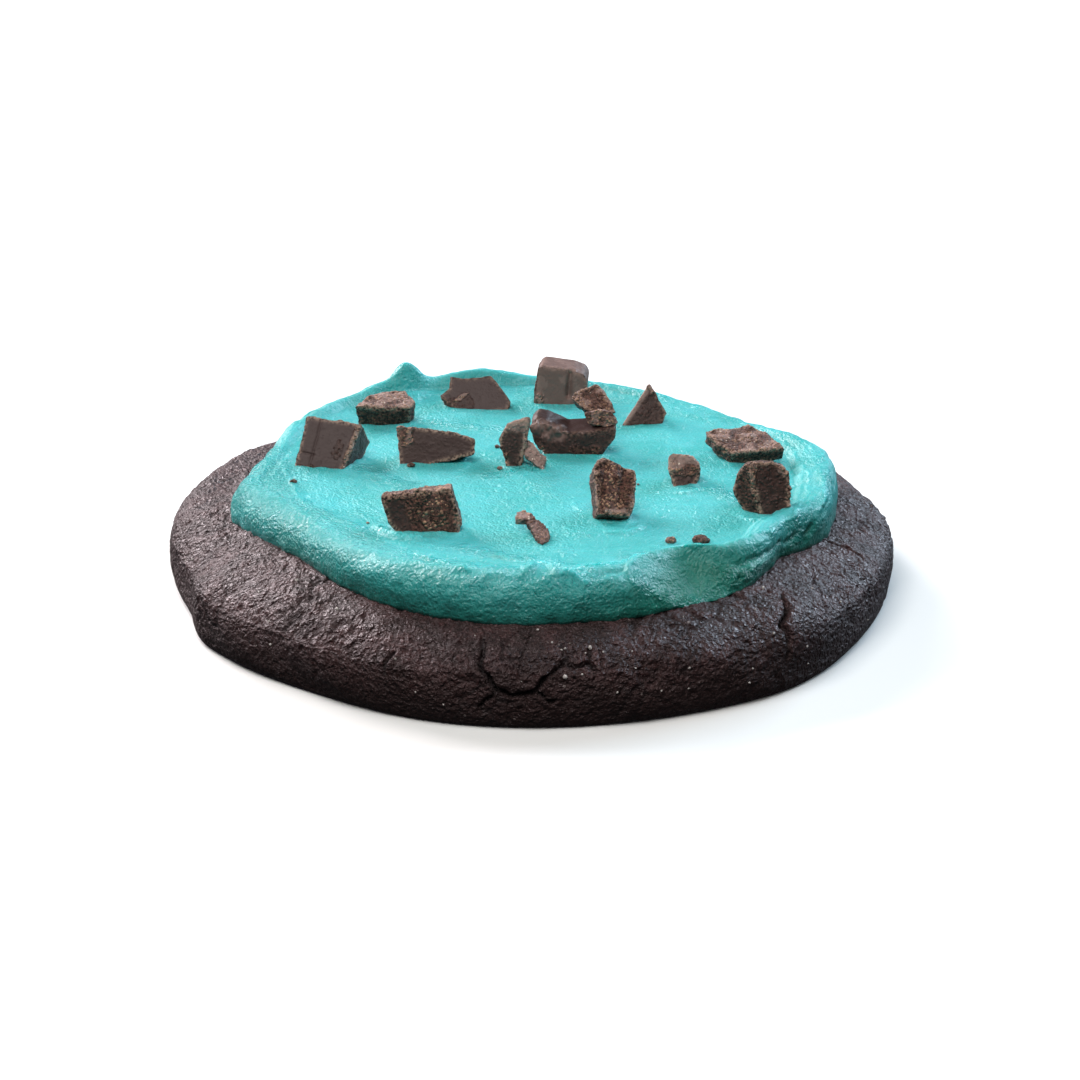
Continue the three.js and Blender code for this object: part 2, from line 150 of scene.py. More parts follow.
def noise(points, size, seed=0):
    """Smooth noise from about -1 to 1, with bumps of this size. The size may differ along x, y and z."""
    points = points / size
    cells = np.floor(points)
    inside = points - cells
    # The usual blend from 0 to 1, level at both ends
    fade = inside**3 * (inside * (inside * 6 - 15) + 10)
    total = np.zeros(len(points))
    for corner in itertools.product((0, 1), repeat=3):
        corner = np.array(corner)
        slope = three_parts(scramble(cells + corner, seed)) * 2 - 1
        weight = np.prod(np.where(corner == 1, fade, 1 - fade), axis=1)
        total += weight * (slope * (inside - corner)).sum(axis=1)
    return total * NOISE_HEIGHT


def layer(points, settings):
    """One layer of noise. Its settings are the size of a bump, the seed and the amount."""
    size, seed, amount = settings
    return amount * noise(points, size, seed)


def rough_noise(points, size, seed=0, octaves=3, keep=0.5):
    """Noise with finer and finer bumps on top of each other."""
    total = 0
    for octave in range(octaves):
        total = total + noise(points, size / 2**octave, seed + OCTAVE_SEED * octave) * keep**octave
    return total


def rough_steps(points, size, seed, octaves=3, keep=0.5):
    """Rough noise along x, y and z, to shift places by."""
    return np.stack([rough_noise(points, size, seed + axis, octaves, keep) for axis in range(3)], axis=1)


def creased_noise(points, size, seed=0):
    """Rounded bumps from 0 to about 1 between sharp creases, as on crumpled leather."""
    return np.abs(noise(points, size, seed)) * 2


def cells_near(points, size, seed=0):
    """The distances, in cells, to the nearest and the second nearest of the scattered points."""
    points = points / size
    home = np.floor(points)
    nearest = np.full(len(points), FAR)
    second = np.full(len(points), FAR)
    for step in itertools.product((-1, 0, 1), repeat=3):
        cell = home + np.array(step)
        away = np.linalg.norm(cell + three_parts(scramble(cell, seed)) - points, axis=1)
        second = np.minimum(second, np.maximum(nearest, away))
        nearest = np.minimum(nearest, away)
    return nearest, second


sample_noise = noise(np.random.default_rng(1).uniform(0, 50, (2000, 3)), 3.0)
print("noise runs from", sample_noise.min().round(2), "to", sample_noise.max().round(2))

# %% [markdown]
# ## From numbers to meshes
# Both the cookie and the frosting are round, so each is a stack of rings: the first point lies in the
# middle of the underside and the last in the middle of the top. A grid of rings and sectors is easy to
# compute with, because the neighbours of each point are known. Its normals come from those neighbours.

# %% A closed mesh from rings
TINY = 1e-12


def grid_normals(places):
    """The outward normal at each point of a grid of rings and sectors."""
    round_the_rim = np.roll(places, -1, axis=1) - np.roll(places, 1, axis=1)
    along_profile = np.gradient(places, axis=0)
    normals = np.cross(round_the_rim, along_profile)
    return normals / np.maximum(np.linalg.norm(normals, axis=2, keepdims=True), TINY)


def new_object(name, data):
    """An object for a mesh, a camera or a light, in the scene."""
    made = bpy.data.objects.new(name, data)
    bpy.context.scene.collection.objects.link(made)
    return made


def write_mask(mesh, name, values):
    """Stores a value at each point of a mesh, for the material to read."""
    mesh.attributes.new(name, "FLOAT", "POINT").data.foreach_set("value", values.astype(np.float32))


def ring_mesh(name, places, masks):
    """A closed mesh from a grid of rings, in mm, with a value for each mask at each point."""
    rings, sectors, _ = places.shape
    ends = [places[0].mean(axis=0), places[-1].mean(axis=0)]
    points = np.vstack([places.reshape(-1, 3), ends]) * MM
    ring, sector = np.meshgrid(np.arange(rings - 1), np.arange(sectors), indexing="ij")
    corner = (ring * sectors + sector).ravel()
    beside = (ring * sectors + (sector + 1) % sectors).ravel()
    quads = np.stack([corner, beside, beside + sectors, corner + sectors], axis=1)
    first = np.arange(sectors)
    after = (first + 1) % sectors
    top = (rings - 1) * sectors
    under_fan = np.stack([np.full(sectors, len(points) - 2), after, first], axis=1)
    top_fan = np.stack([np.full(sectors, len(points) - 1), top + first, top + after], axis=1)
    mesh = bpy.data.meshes.new(name)
    mesh.from_pydata(points.tolist(), [], quads.tolist() + under_fan.tolist() + top_fan.tolist())
    mesh.shade_smooth()
    for mask, values in masks.items():
        write_mask(mesh, mask, np.append(values.ravel(), [values[0].mean(), values[-1].mean()]))
    return new_object(name, mesh)


def triangles(piece):
    return sum(len(face.vertices) - 2 for face in piece.data.polygons)


def near_points(places, centre, reach):
    """The numbers of the points in a small box round a centre, and their distances from it."""
    box = np.flatnonzero(np.abs(places - centre).max(axis=1) < reach)
    return box, np.linalg.norm(places[box] - centre, axis=1)


def distance_to_path(points, path):
    """The distance of each point from a path of straight stretches, and how far along the path it is."""
    path = np.asarray(path, float)
    nearest = np.full(len(points), np.inf)
    along = np.zeros(len(points))
    for number, (start, end) in enumerate(zip(path[:-1], path[1:])):
        run = end - start
        share = np.clip((points - start) @ run / (run @ run), 0, 1)
        away = np.linalg.norm(points - start - share[:, None] * run, axis=1)
        closer = away < nearest
        nearest[closer] = away[closer]
        along[closer] = (number + share[closer]) / (len(path) - 1)
    return nearest, along


def smooth_path(path, pieces=4):
    """The same path with soft bends, through all its points."""
    path = np.asarray(path, float)
    longer = np.vstack([2 * path[0] - path[1], path, 2 * path[-1] - path[-2]])
    share = np.arange(pieces)[:, None] / pieces
    bends = []
    for before, start, end, after in zip(longer, longer[1:], longer[2:], longer[3:]):
        # A stretch from start to end whose slope at each point follows the points on both sides of it
        slope = end - before
        curve = 2 * before - 5 * start + 4 * end - after
        twist = 3 * start - before - 3 * end + after
        bends.append(start + 0.5 * (slope * share + curve * share**2 + twist * share**3))
    return np.vstack([*bends, path[-1:]])


print("points on a bend through three places:", len(smooth_path([(0, 0), (1, 1), (2, 0)])))

# %% [markdown]
# ## The camera
# The photograph looks down on the cookie from a low table height with a long lens. The camera's height,
# distance and focal length were worked out from the round outline of the cookie.

# %% Camera
VIEW_ELEVATION = math.radians(21)
VIEW_DISTANCE = 320 * MM
VIEW_TARGET = Vector((1.1, 0, 5.7)) * MM
FOCAL_LENGTH = 76.1
SENSOR_WIDTH = 36
CLIP_START = 0.01

scene = bpy.context.scene
towards_camera = Vector((0, -math.cos(VIEW_ELEVATION), math.sin(VIEW_ELEVATION)))
camera_data = bpy.data.cameras.new("camera")
camera_data.lens = FOCAL_LENGTH
camera_data.sensor_width = SENSOR_WIDTH
camera_data.clip_start = CLIP_START
camera = new_object("camera", camera_data)
camera.location = VIEW_TARGET + towards_camera * VIEW_DISTANCE
camera.rotation_euler = (-towards_camera).to_track_quat("-Z", "Y").to_euler()
scene.camera = camera
print("the camera stands", round(camera.location.z / MM), "mm above the floor")

# %% [markdown]
# ## The cookie's form
# The dough spread in the oven into a low dome with a round edge. Its outline is a formula: one for the
# dome above the widest place, and one for the side below it. The points are spread evenly along that
# outline, close together where the crust shows and far apart under the frosting. Round the rim they lie
# closer at the front, where the cracks are.

# %% The smooth cookie
COOKIE_RADIUS = 50
COOKIE_HEIGHT = 13.6
WAIST_HEIGHT = 7
FOOT_RADIUS = 48.3
DOME_POWER = 3.5
EDGE_POWER = 2.6
COVERED_RADIUS = 37
BARE_RADIUS = 43
COOKIE_UNEVENNESS = 0.35
COOKIE_WAVELENGTH = 13
COOKIE_SWELLS = [(154, 1.6, 22), (208, 0.7, 4), (234, -1.4, 12), (311, 0.8, 9), (334, -0.4, 8)]
PRESSED_PLACE = [(198, 1, 8)]
PRESSED_DEPTH = 1.8
PRESSED_FOOT_DEPTH = 1.2
PRESSED_FROM = 1
PRESSED_TO = 4
SHOULDER_HEIGHT = 8.2
SHOULDER_SPREAD = 2.2
SHOULDER_DEPTH = 0.8
FRONT_SHOULDER = [(270, 1, 60)]


def cookie_top(radius):
    share = np.minimum(1, radius / COOKIE_RADIUS)
    return WAIST_HEIGHT + (COOKIE_HEIGHT - WAIST_HEIGHT) * np.sqrt(1 - share**DOME_POWER)


def cookie_radius(height):
    rise = np.clip((height - WAIST_HEIGHT) / (COOKIE_HEIGHT - WAIST_HEIGHT), 0, 1)
    drop = np.clip(1 - height / WAIST_HEIGHT, 0, 1)
    above = COOKIE_RADIUS * (1 - rise**2) ** (1 / DOME_POWER)
    below = FOOT_RADIUS + (COOKIE_RADIUS - FOOT_RADIUS) * (1 - drop**EDGE_POWER) ** (1 / EDGE_POWER)
    return np.where(height >= WAIST_HEIGHT, above, below)


def cookie_relief(degrees, radius, height):
    """How far the baked surface stands out from the smooth one: lumps, swells and the pressed place."""
    x, y = level_place(radius, degrees)
    rough = COOKIE_UNEVENNESS * smoothstep(height, 0, WAIST_HEIGHT / 2)
    lumps = rough * unevenness(x + height, y - height, COOKIE_WAVELENGTH)
    side = smoothstep(radius, BARE_RADIUS, COOKIE_RADIUS - 1)
    press = mix(PRESSED_FOOT_DEPTH, PRESSED_DEPTH, smoothstep(height, PRESSED_FROM, PRESSED_TO))
    pressed = around_rim(degrees, 0, PRESSED_PLACE) * press
    bare = smoothstep(radius, COVERED_RADIUS, BARE_RADIUS)
    corner = bell(height - SHOULDER_HEIGHT, SHOULDER_SPREAD)
    rounded = SHOULDER_DEPTH * corner * around_rim(degrees, 0, FRONT_SHOULDER)
    return bare * (lumps + side * (around_rim(degrees, 0, COOKIE_SWELLS) - pressed) - rounded)


print("height of the smooth cookie in mm:", float(cookie_top(0)))

# %% Rings and sectors for the cookie
CRUST_STEP = 0.245
CRUST_SECTORS = 960
SIDE_POINTS = 200
DOME_POINTS = 900
FOOT_RINGS = np.array([8, 26, 40, 46.5, 47.9])
COVERED_RINGS = np.array([30, 18, 6])
EVEN_ANGLES = 3601
CLOSER_AT_FRONT = [(270, 0.9, 55)]


def cookie_outline():
    """Points of the outline from near the middle of the underside to near the middle of the top."""
    side = np.linspace(0, WAIST_HEIGHT, SIDE_POINTS)
    dome = COOKIE_RADIUS * np.sqrt(np.sin(np.linspace(np.pi / 2, 0, DOME_POINTS)))
    radius = np.concatenate([cookie_radius(side), dome[1:]])
    height = np.concatenate([side, cookie_top(dome[1:])])
    length = np.concatenate([[0], np.cumsum(np.hypot(np.diff(radius), np.diff(height)))])
    bare_length = length[np.argmax(radius[SIDE_POINTS:] < COVERED_RADIUS) + SIDE_POINTS]
    steps = np.linspace(0, bare_length, int(bare_length / CRUST_STEP))
    shown = np.interp(steps, length, radius), np.interp(steps, length, height)
    radius = np.concatenate([FOOT_RINGS, shown[0], COVERED_RINGS])
    height = np.concatenate([np.zeros(len(FOOT_RINGS)), shown[1], cookie_top(COVERED_RINGS)])
    return radius, height


def angles_round(sectors):
    """Angles round the cookie in degrees, closer together at the front."""
    even = np.linspace(0, 360, EVEN_ANGLES)
    density = around_rim(even, 1, CLOSER_AT_FRONT)
    turned = np.concatenate([[0], np.cumsum((density[1:] + density[:-1]) / 2)])
    return np.interp(np.arange(sectors) / sectors * turned[-1], turned, even)


outline_radius, outline_height = cookie_outline()
grid_shape = (len(outline_radius), CRUST_SECTORS)
base_radius = np.repeat(outline_radius, CRUST_SECTORS)
base_height = np.repeat(outline_height, CRUST_SECTORS)
base_degrees = np.tile(angles_round(CRUST_SECTORS), len(outline_radius))
smooth_places = np.stack([*level_place(base_radius, base_degrees), base_height], axis=1)
print("rings:", len(outline_radius), "sectors:", CRUST_SECTORS)

# %% [markdown]
# ## The crust
# While the cookie baked, its skin dried and crinkled like leather, and the edge split where the dough was
# still rising. The wrinkles are noise with sharp creases between rounded bumps, 1 to 2 mm across, strong on
# top and gone on the lower side, which stayed smooth. Fine cracks follow the borders between cells. The big
# cracks are paths drawn one by one, seen from the front, and each point near such a path sinks in. Painting
# the cracks on would look flat, because the light has to fall into them.

# %% Wrinkles and fine cracks
# Layers of noise on the crust: the size of a bump in mm, the seed and the amount
BARE_BORDER = (9.0, 6, 1.4)
SWELL = (4.5, 14, 0.16)
GRIT = (0.55, 13, 0.06)
CREASE_LOW = 2.5
CREASE_HIGH = 8.5
WARP_SIZE = 4.0
WARP_AMOUNT = 0.9
CALM_SIZE = 11.0
CALM_RANGE = (-0.5, 0.6)
CALM_STRENGTH = 0.55
WRINKLE_SIZE = 1.3
WRINKLE_DEPTH = 0.22
WRINKLE_POWER = 0.7
WRINKLE_LEVEL = 0.6
FINE_WRINKLE_SIZE = WRINKLE_SIZE * 0.47
FINE_WRINKLE_DEPTH = 0.16
FINE_WRINKLE_POWER = 0.8
FINE_WRINKLE_LEVEL = 0.55
CRACKLE_SIZE = 5.2
CRACKLE_WIDTH = (0.015, 0.075)
CRACKLE_PATCH_SIZE = 8.0
CRACKLE_PATCH_RANGE = (0.05, 0.35)
CRACKLE_DEPTH = 0.3
SIDE_CRACKLE = 0.35
SIDE_LUMP_SIZE = 4.2
SIDE_LUMP_HEIGHT = 0.1
CREASE_POWER = 3
FINE_CREASE_SHARE = 0.4
CRACKLE_SHARE = 0.8


def crust_relief(places):
    """Height of the fine relief, and how deep each point lies in a crease from 0 to 1."""
    warped = places + WARP_AMOUNT * rough_steps(places, WARP_SIZE, seed=3)
    shown = smoothstep(places[:, 2] + layer(places, BARE_BORDER), CREASE_LOW, CREASE_HIGH)
    patch = smoothstep(rough_noise(places, CALM_SIZE, seed=7), *CALM_RANGE)
    broad = np.minimum(creased_noise(warped, WRINKLE_SIZE, seed=11), 1) ** WRINKLE_POWER
    fine = np.minimum(creased_noise(warped, FINE_WRINKLE_SIZE, seed=12), 1) ** FINE_WRINKLE_POWER
    wrinkles = WRINKLE_DEPTH * (broad - WRINKLE_LEVEL) + FINE_WRINKLE_DEPTH * (fine - FINE_WRINKLE_LEVEL)
    wrinkles += layer(places, SWELL) + layer(places, GRIT)
    nearest, second = cells_near(warped, CRACKLE_SIZE, seed=21)
    crackle = 1 - smoothstep(second - nearest, *CRACKLE_WIDTH)
    crackle = crackle * smoothstep(noise(places, CRACKLE_PATCH_SIZE, seed=22), *CRACKLE_PATCH_RANGE)
    side_lumps = SIDE_LUMP_HEIGHT * rough_noise(places, SIDE_LUMP_SIZE, seed=31, octaves=2)
    strength = shown * mix(CALM_STRENGTH, 1, patch)
    cracked = CRACKLE_DEPTH * crackle * mix(SIDE_CRACKLE, 1, shown)
    height = strength * wrinkles - cracked + (1 - shown) * side_lumps
    creases = (1 - broad) ** CREASE_POWER + FINE_CREASE_SHARE * (1 - fine) ** CREASE_POWER
    return height, np.clip(strength * creases + CRACKLE_SHARE * crackle, 0, 1)


fine_height, crease_depth = crust_relief(smooth_places)
print("fine relief in mm:", fine_height.min().round(2), "to", fine_height.max().round(2))

# %% The large cracks
# Each crack has a width and a depth in mm, and a path of places [x, height] seen from the front
CRACKS = [
    (0.5, 1.3, [(-5.7, 10.6), (-5.9, 9.8), (-6.1, 8.8), (-5.6, 7.4), (-5, 6.2), (-4.4, 5.4), (-3.2, 5),
                (-1.5, 4.9), (0.1, 5.2), (1.8, 6.7), (2.7, 8), (3.6, 8.9), (4.5, 9.4), (5.4, 9.8)]),
    (0.42, 1.1, [(4.2, 9.2), (5.6, 8.6), (7.1, 8.8), (7.8, 8.2), (8.1, 7.6)]),
    (0.26, 0.6, [(7.1, 10), (7.2, 9.4), (7.1, 8.6)]),
    (0.26, 0.6, [(3.8, 10.2), (3.9, 9.6), (3.7, 9.1)]),
    (0.26, 0.6, [(3.7, 9.1), (2.7, 9.3), (1.4, 9.4)]),
    (0.3, 0.8, [(0, 5.3), (1.1, 4.8), (2.2, 4.1), (3.1, 3.9)]),
    (0.28, 0.7, [(-4.1, 5.2), (-4.9, 4.3), (-5.9, 3.4), (-7, 3.1)]),
    (0.5, 1.4, [(31.5, 10.6), (31.7, 9.6), (31.1, 8.9), (31.7, 8.1), (31.8, 6.9), (31.5, 4.9)]),
    (0.4, 1.1, [(39.4, 11.4), (42, 10.7), (44.3, 9.7)]),
    (0.34, 0.7, [(-16.7, 9.3), (-17.8, 8.3), (-18.2, 5.9)]),
]
CRACK_WANDER = 0.3
CRACK_WANDER_SIZE = 1.3
CRACK_RAGGEDNESS = (1.8, 44, 0.35)
CRACK_FLOOR = 0.25
CRACK_LIP = 0.14
CRACK_LIP_PLACE = 1.6
CRACK_LIP_WIDTH = 0.8
CRACK_START = 0.1
CRACK_END = 0.75
NARROW_END = 0.5
SHALLOW_END = 0.4
CRACKED_FRONT = -10


def front_place(x, height):
    """A place on the front half of the smooth cookie."""
    return x, -math.sqrt(float(cookie_radius(height)) ** 2 - x**2), height


def crack_relief(places):
    """How deep each point sinks into a large crack, in mm, and its share from 0 to 1."""
    wandered = places + CRACK_WANDER * rough_steps(places, CRACK_WANDER_SIZE, seed=41, octaves=2)
    ragged = 1 + layer(places, CRACK_RAGGEDNESS)
    depth = np.zeros(len(places))
    share = np.zeros(len(places))
    for width, deepest, path in CRACKS:
        curve = smooth_path([front_place(x, height) for x, height in path])
        away, along = distance_to_path(wandered, curve)
        ends = smoothstep(along, 0, CRACK_START) * (1 - smoothstep(along, CRACK_END, 1))
        inside = bowl(away, width * mix(NARROW_END, 1, ends) * ragged, CRACK_FLOOR)
        lip = CRACK_LIP * bell(away - CRACK_LIP_PLACE * width, CRACK_LIP_WIDTH * width)
        depth = np.maximum(depth, deepest * inside * mix(SHALLOW_END, 1, ends)) - lip * ends
        share = np.maximum(share, inside)
    return depth, share


near_front = smooth_places[:, 1] < CRACKED_FRONT
crack_depth = np.zeros(len(smooth_places))
crack_share = np.zeros(len(smooth_places))
crack_depth[near_front], crack_share[near_front] = crack_relief(smooth_places[near_front])
print("points inside a large crack:", int((crack_share > 0.5).sum()))

# %% [markdown]
# A dark burst bubble sits low on the front, and the whole crust has small seeded pits where steam came out.

# %% Pits in the crust
BUBBLE_PLACE = (14.7, 6.8)
BUBBLE_RADIUS = 1.4
BUBBLE_DEPTH = 0.5
BUBBLE_RIM = 0.35
BUBBLE_FLOOR = 0.3
BUBBLE_FLAT = 0.5
BUBBLE_WANDER = 0.6
BUBBLE_WANDER_SIZE = 1.5
PIT_COUNT = 220
PIT_RADII = (0.3, 0.75)
PIT_DEPTHS = (0.12, 0.32)
PIT_FLAT = 0.2
PITS_ABOVE = 3


def pit_relief(places):
    """How deep each point lies in a pit, in mm."""
    away = np.linalg.norm(places - np.array(front_place(*BUBBLE_PLACE)), axis=1)
    away = away + BUBBLE_WANDER * rough_noise(places, BUBBLE_WANDER_SIZE, seed=51)
    depth = BUBBLE_DEPTH * bell(away - BUBBLE_RADIUS, BUBBLE_RIM)
    depth += BUBBLE_FLOOR * bowl(away, BUBBLE_RADIUS, BUBBLE_FLAT)
    draws = np.random.default_rng(7)
    outside = np.hypot(places[:, 0], places[:, 1]) > BARE_RADIUS - 2
    shown = np.flatnonzero((places[:, 2] > PITS_ABOVE) & outside)
    for start in draws.choice(shown, PIT_COUNT, replace=False):
        radius = draws.uniform(*PIT_RADII)
        box, near = near_points(places, places[start], radius)
        depth[box] += draws.uniform(*PIT_DEPTHS) * bowl(near, radius, PIT_FLAT)
    return depth


pit_depth = pit_relief(smooth_places)
print("deepest pit in mm:", pit_depth.max().round(2))

# %% [markdown]
# Now every point moves straight out of the outline by the sum of its reliefs. Two masks go with the mesh,
# so that the material can follow the form: painted shade in the cracks and creases, and how low on the
# side.

# %% Put the cookie together
FINE_FROM_HEIGHT = 1.2
FINE_FROM_RADIUS = COVERED_RADIUS + 1.5
FLAT_FOOT_RADIUS = 46
CREASE_DARKNESS = 0.8
SIDE_LOW = 1
SIDE_HIGH = 10.5


def outward(radius_steps, height_steps, above_waist):
    """The direction out of the outline, level below the waist so that the foot stays down."""
    out_radius = np.where(above_waist, height_steps, 1)
    out_height = np.where(above_waist, -radius_steps, 0)
    length = np.hypot(out_radius, out_height)
    return np.repeat(out_radius / length, CRUST_SECTORS), np.repeat(out_height / length, CRUST_SECTORS)


out_radius, out_height = outward(
    np.gradient(outline_radius), np.gradient(outline_height), outline_height > WAIST_HEIGHT
)
foot_share = smoothstep(base_height, 0, FINE_FROM_HEIGHT)
bare_share = smoothstep(base_radius, COVERED_RADIUS, FINE_FROM_RADIUS) * foot_share
relief = cookie_relief(base_degrees, base_radius, base_height)
relief = np.where((base_height > 0) | (base_radius > FLAT_FOOT_RADIUS), relief, 0)
relief = relief + bare_share * (fine_height - crack_depth - pit_depth)
final_x, final_y = level_place(base_radius + relief * out_radius, base_degrees)
final_height = np.maximum(base_height + relief * out_height, 0)
cookie_places = np.stack([final_x, final_y, final_height], axis=1).reshape(*grid_shape, 3)
# The crack mask paints shade for the material: large cracks and the creases of the wrinkles turn dark
crust_masks = {
    "crack": np.clip(crack_share + CREASE_DARKNESS * crease_depth, 0, 1).reshape(grid_shape),
    "side": (1 - smoothstep(base_height, SIDE_LOW, SIDE_HIGH)).reshape(grid_shape),
}
crust = ring_mesh("baked_cookie", cookie_places, crust_masks)
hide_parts("cookie")
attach(crust, BODY)
print("triangles in the cookie:", triangles(crust))

# %% [markdown]
# ## The frosting's form
# Buttercream is spread from the middle outwards, and the knife leaves a raised rim with a shallow dish
# inside. At each angle the outline starts under the frosting, turns up over a rounded wall to the crest,
# crosses a flat band and drops into the dish. Swells along the rim make the pulled-up peak at the back, the
# broad band at the front and the scoop at the front right. It is built as rings, as the cookie is.

# %% Frosting sizes
FROSTING_RADIUS = 42.3
RIM_HEIGHT = 17
DISH_HEIGHT = 16
CREST_INSET = 2.4
BAND_INSET = 4
BAND_FALL = 0.45
DISH_SLOPE = 1.1
DISH_SLOPE_SWELLS = [(200, 3.2, 26), (108, 3, 24), (45, 1.2, 25)]
WALL_ROUNDNESS = 0.7
WALL_TUCK = 0.4
FRONT_TUCK = [(262, 0.6, 40)]
DISH_UNEVENNESS = 0.3
DISH_WAVELENGTH = 19
SUNK_FOOT = 0.15
SUNK_UNDERSIDE = 0.5
OUTLINE_SWELLS = [(7, 1, 8), (40, -3.3, 20), (168, -3.3, 13), (190, 1.1, 3.5), (217, -3.5, 14),
                  (270, 1.4, 22), (325, -2.2, 6)]
RIM_SWELLS = [(5, 0.5, 14), (48, -0.4, 12), (101, 1.6, 7), (118.5, 3.4, 2.7), (125, 0.7, 8), (150, 0.6, 12),
              (207, -0.3, 18)]
CREST_SWELLS = [(200, 2, 20), (298, 3.2, 6)]
BAND_SWELLS = [(215, 1.8, 14), (252, 4.2, 16), (294, 2.8, 6), (318, -1.2, 10), (357, 1.2, 12)]
WALL_SWELLS = [(200, 0.25, 22), (302, 1.4, 7)]
ROUNDER_CREST = [(272, 2.0, 22)]
ROUNDER_WALL = [(272, 0.3, 22)]
# Small changes to the crest that follow the photograph's outline more closely
CREST_TRIM = [(125.5, 0.75, 2.6), (107.5, 0.55, 5), (34, -0.5, 6), (149, -0.45, 4)]
BAND_FALL_SWELLS = [(115, 0.35, 22), (60, 0.2, 25)]
# Ragged lines round the rim: the size of a bump in mm, a number for its seed and the amount in mm
RAGGED_FOOT = (2.6, 1, 0.3)
RAGGED_BAND = (4.2, 2, 0.5)
WAVY_CREST = (5.0, 3, 0.13)
RAGGED_SEED = 60
FOOT_POWER = 5
LEAST_CREST = 1
BAND_FROM = 0.8
UNDER_SHARES = (0.1, 0.6, 0.9, 0.975)
FROSTING_SECTORS = 640
WALL_STEPS = 26
BAND_STEPS = 29
DISH_STEPS = 96


def dish_height(x, y):
    return DISH_HEIGHT + DISH_UNEVENNESS * unevenness(x, y, DISH_WAVELENGTH)


def ragged_line(degrees, settings):
    """Noise on a circle, so that it closes round the rim."""
    size, number, amount = settings
    circle = [*level_place(FROSTING_RADIUS, degrees), np.full(len(degrees), float(number))]
    return amount * rough_noise(np.stack(circle, axis=1), size, RAGGED_SEED + number)


def frosting_rings():
    """The grid of places, and for each point its share of wall and of band."""
    degrees = angles_round(FROSTING_SECTORS)
    outline = around_rim(degrees, FROSTING_RADIUS, OUTLINE_SWELLS)
    crest_height = around_rim(degrees, RIM_HEIGHT, RIM_SWELLS + CREST_TRIM)
    crest_height = crest_height + ragged_line(degrees, WAVY_CREST)
    crest_inset = around_rim(degrees, CREST_INSET, CREST_SWELLS + ROUNDER_CREST)
    band_inset = around_rim(degrees, BAND_INSET, BAND_SWELLS) + ragged_line(degrees, RAGGED_BAND)
    band_inset = np.maximum(crest_inset + LEAST_CREST, band_inset)
    roundness = around_rim(degrees, WALL_ROUNDNESS, WALL_SWELLS + ROUNDER_WALL)
    band_fall = around_rim(degrees, BAND_FALL, BAND_FALL_SWELLS)
    tuck_depth = around_rim(degrees, WALL_TUCK, FRONT_TUCK)
    ragged_foot = ragged_line(degrees, RAGGED_FOOT)
    contact = outline - tuck_depth
    rings = []

    def add_ring(radius, height, wall, band):
        places = np.stack([*level_place(radius, degrees), height], axis=1)
        rings.append((places, np.broadcast_to(wall, degrees.shape), np.broadcast_to(band, degrees.shape)))

    def underside(radius):
        top = cookie_top(radius)
        return top + cookie_relief(degrees, radius, top)

    for share in UNDER_SHARES:
        add_ring(share * contact, underside(share * contact) - SUNK_UNDERSIDE, 0, 0)
    foot_height = underside(contact) - SUNK_FOOT
    for step in range(WALL_STEPS + 1):
        turn = step / WALL_STEPS * np.pi / 2
        tuck = tuck_depth * (1 - np.sin(turn)) ** 2
        foot = (1 - step / WALL_STEPS) ** FOOT_POWER * ragged_foot
        radius = outline - crest_inset + crest_inset * np.cos(turn) ** roundness - tuck + foot
        height = foot_height + (crest_height - foot_height) * np.sin(turn) ** roundness
        on_band = smoothstep(step / WALL_STEPS, BAND_FROM, 1)
        add_ring(radius, height, 1 - on_band, on_band)
    dish_inset = band_inset + around_rim(degrees, DISH_SLOPE, DISH_SLOPE_SWELLS)
    for step in range(1, BAND_STEPS + 1):
        inset = mix(crest_inset, dish_inset, step / BAND_STEPS)
        radius = outline - inset
        raised = crest_height - dish_height(*level_place(radius, degrees))
        over_band = smoothstep(inset, crest_inset, band_inset)
        into_dish = smoothstep(inset, band_inset, dish_inset)
        add_ring(radius, crest_height - raised * mix(band_fall * over_band, 1, into_dish), 0, 1 - into_dish)
    for step in range(1, DISH_STEPS):
        radius = (outline - dish_inset) * (1 - step / DISH_STEPS)
        add_ring(radius, dish_height(*level_place(radius, degrees)), 0, 0)
    return [np.array(part) for part in zip(*rings)]


frosting_places, wall_share, band_share = frosting_rings()
print("frosting rings:", len(frosting_places), "highest in mm:", frosting_places[..., 2].max().round(1))

# %% [markdown]
# ## Strokes of the knife
# The smooth form looks like plastic until the knife has been over it. Round the rim the strokes follow the
# rim, and in the middle they run from side to side, so two stretched noises are blended by the distance
# from the middle. The torn lip on the front band, the folded edge beside the scoop and the crease at the
# left are single strokes with a path, a height and a width, like the cracks of the cookie but raised.

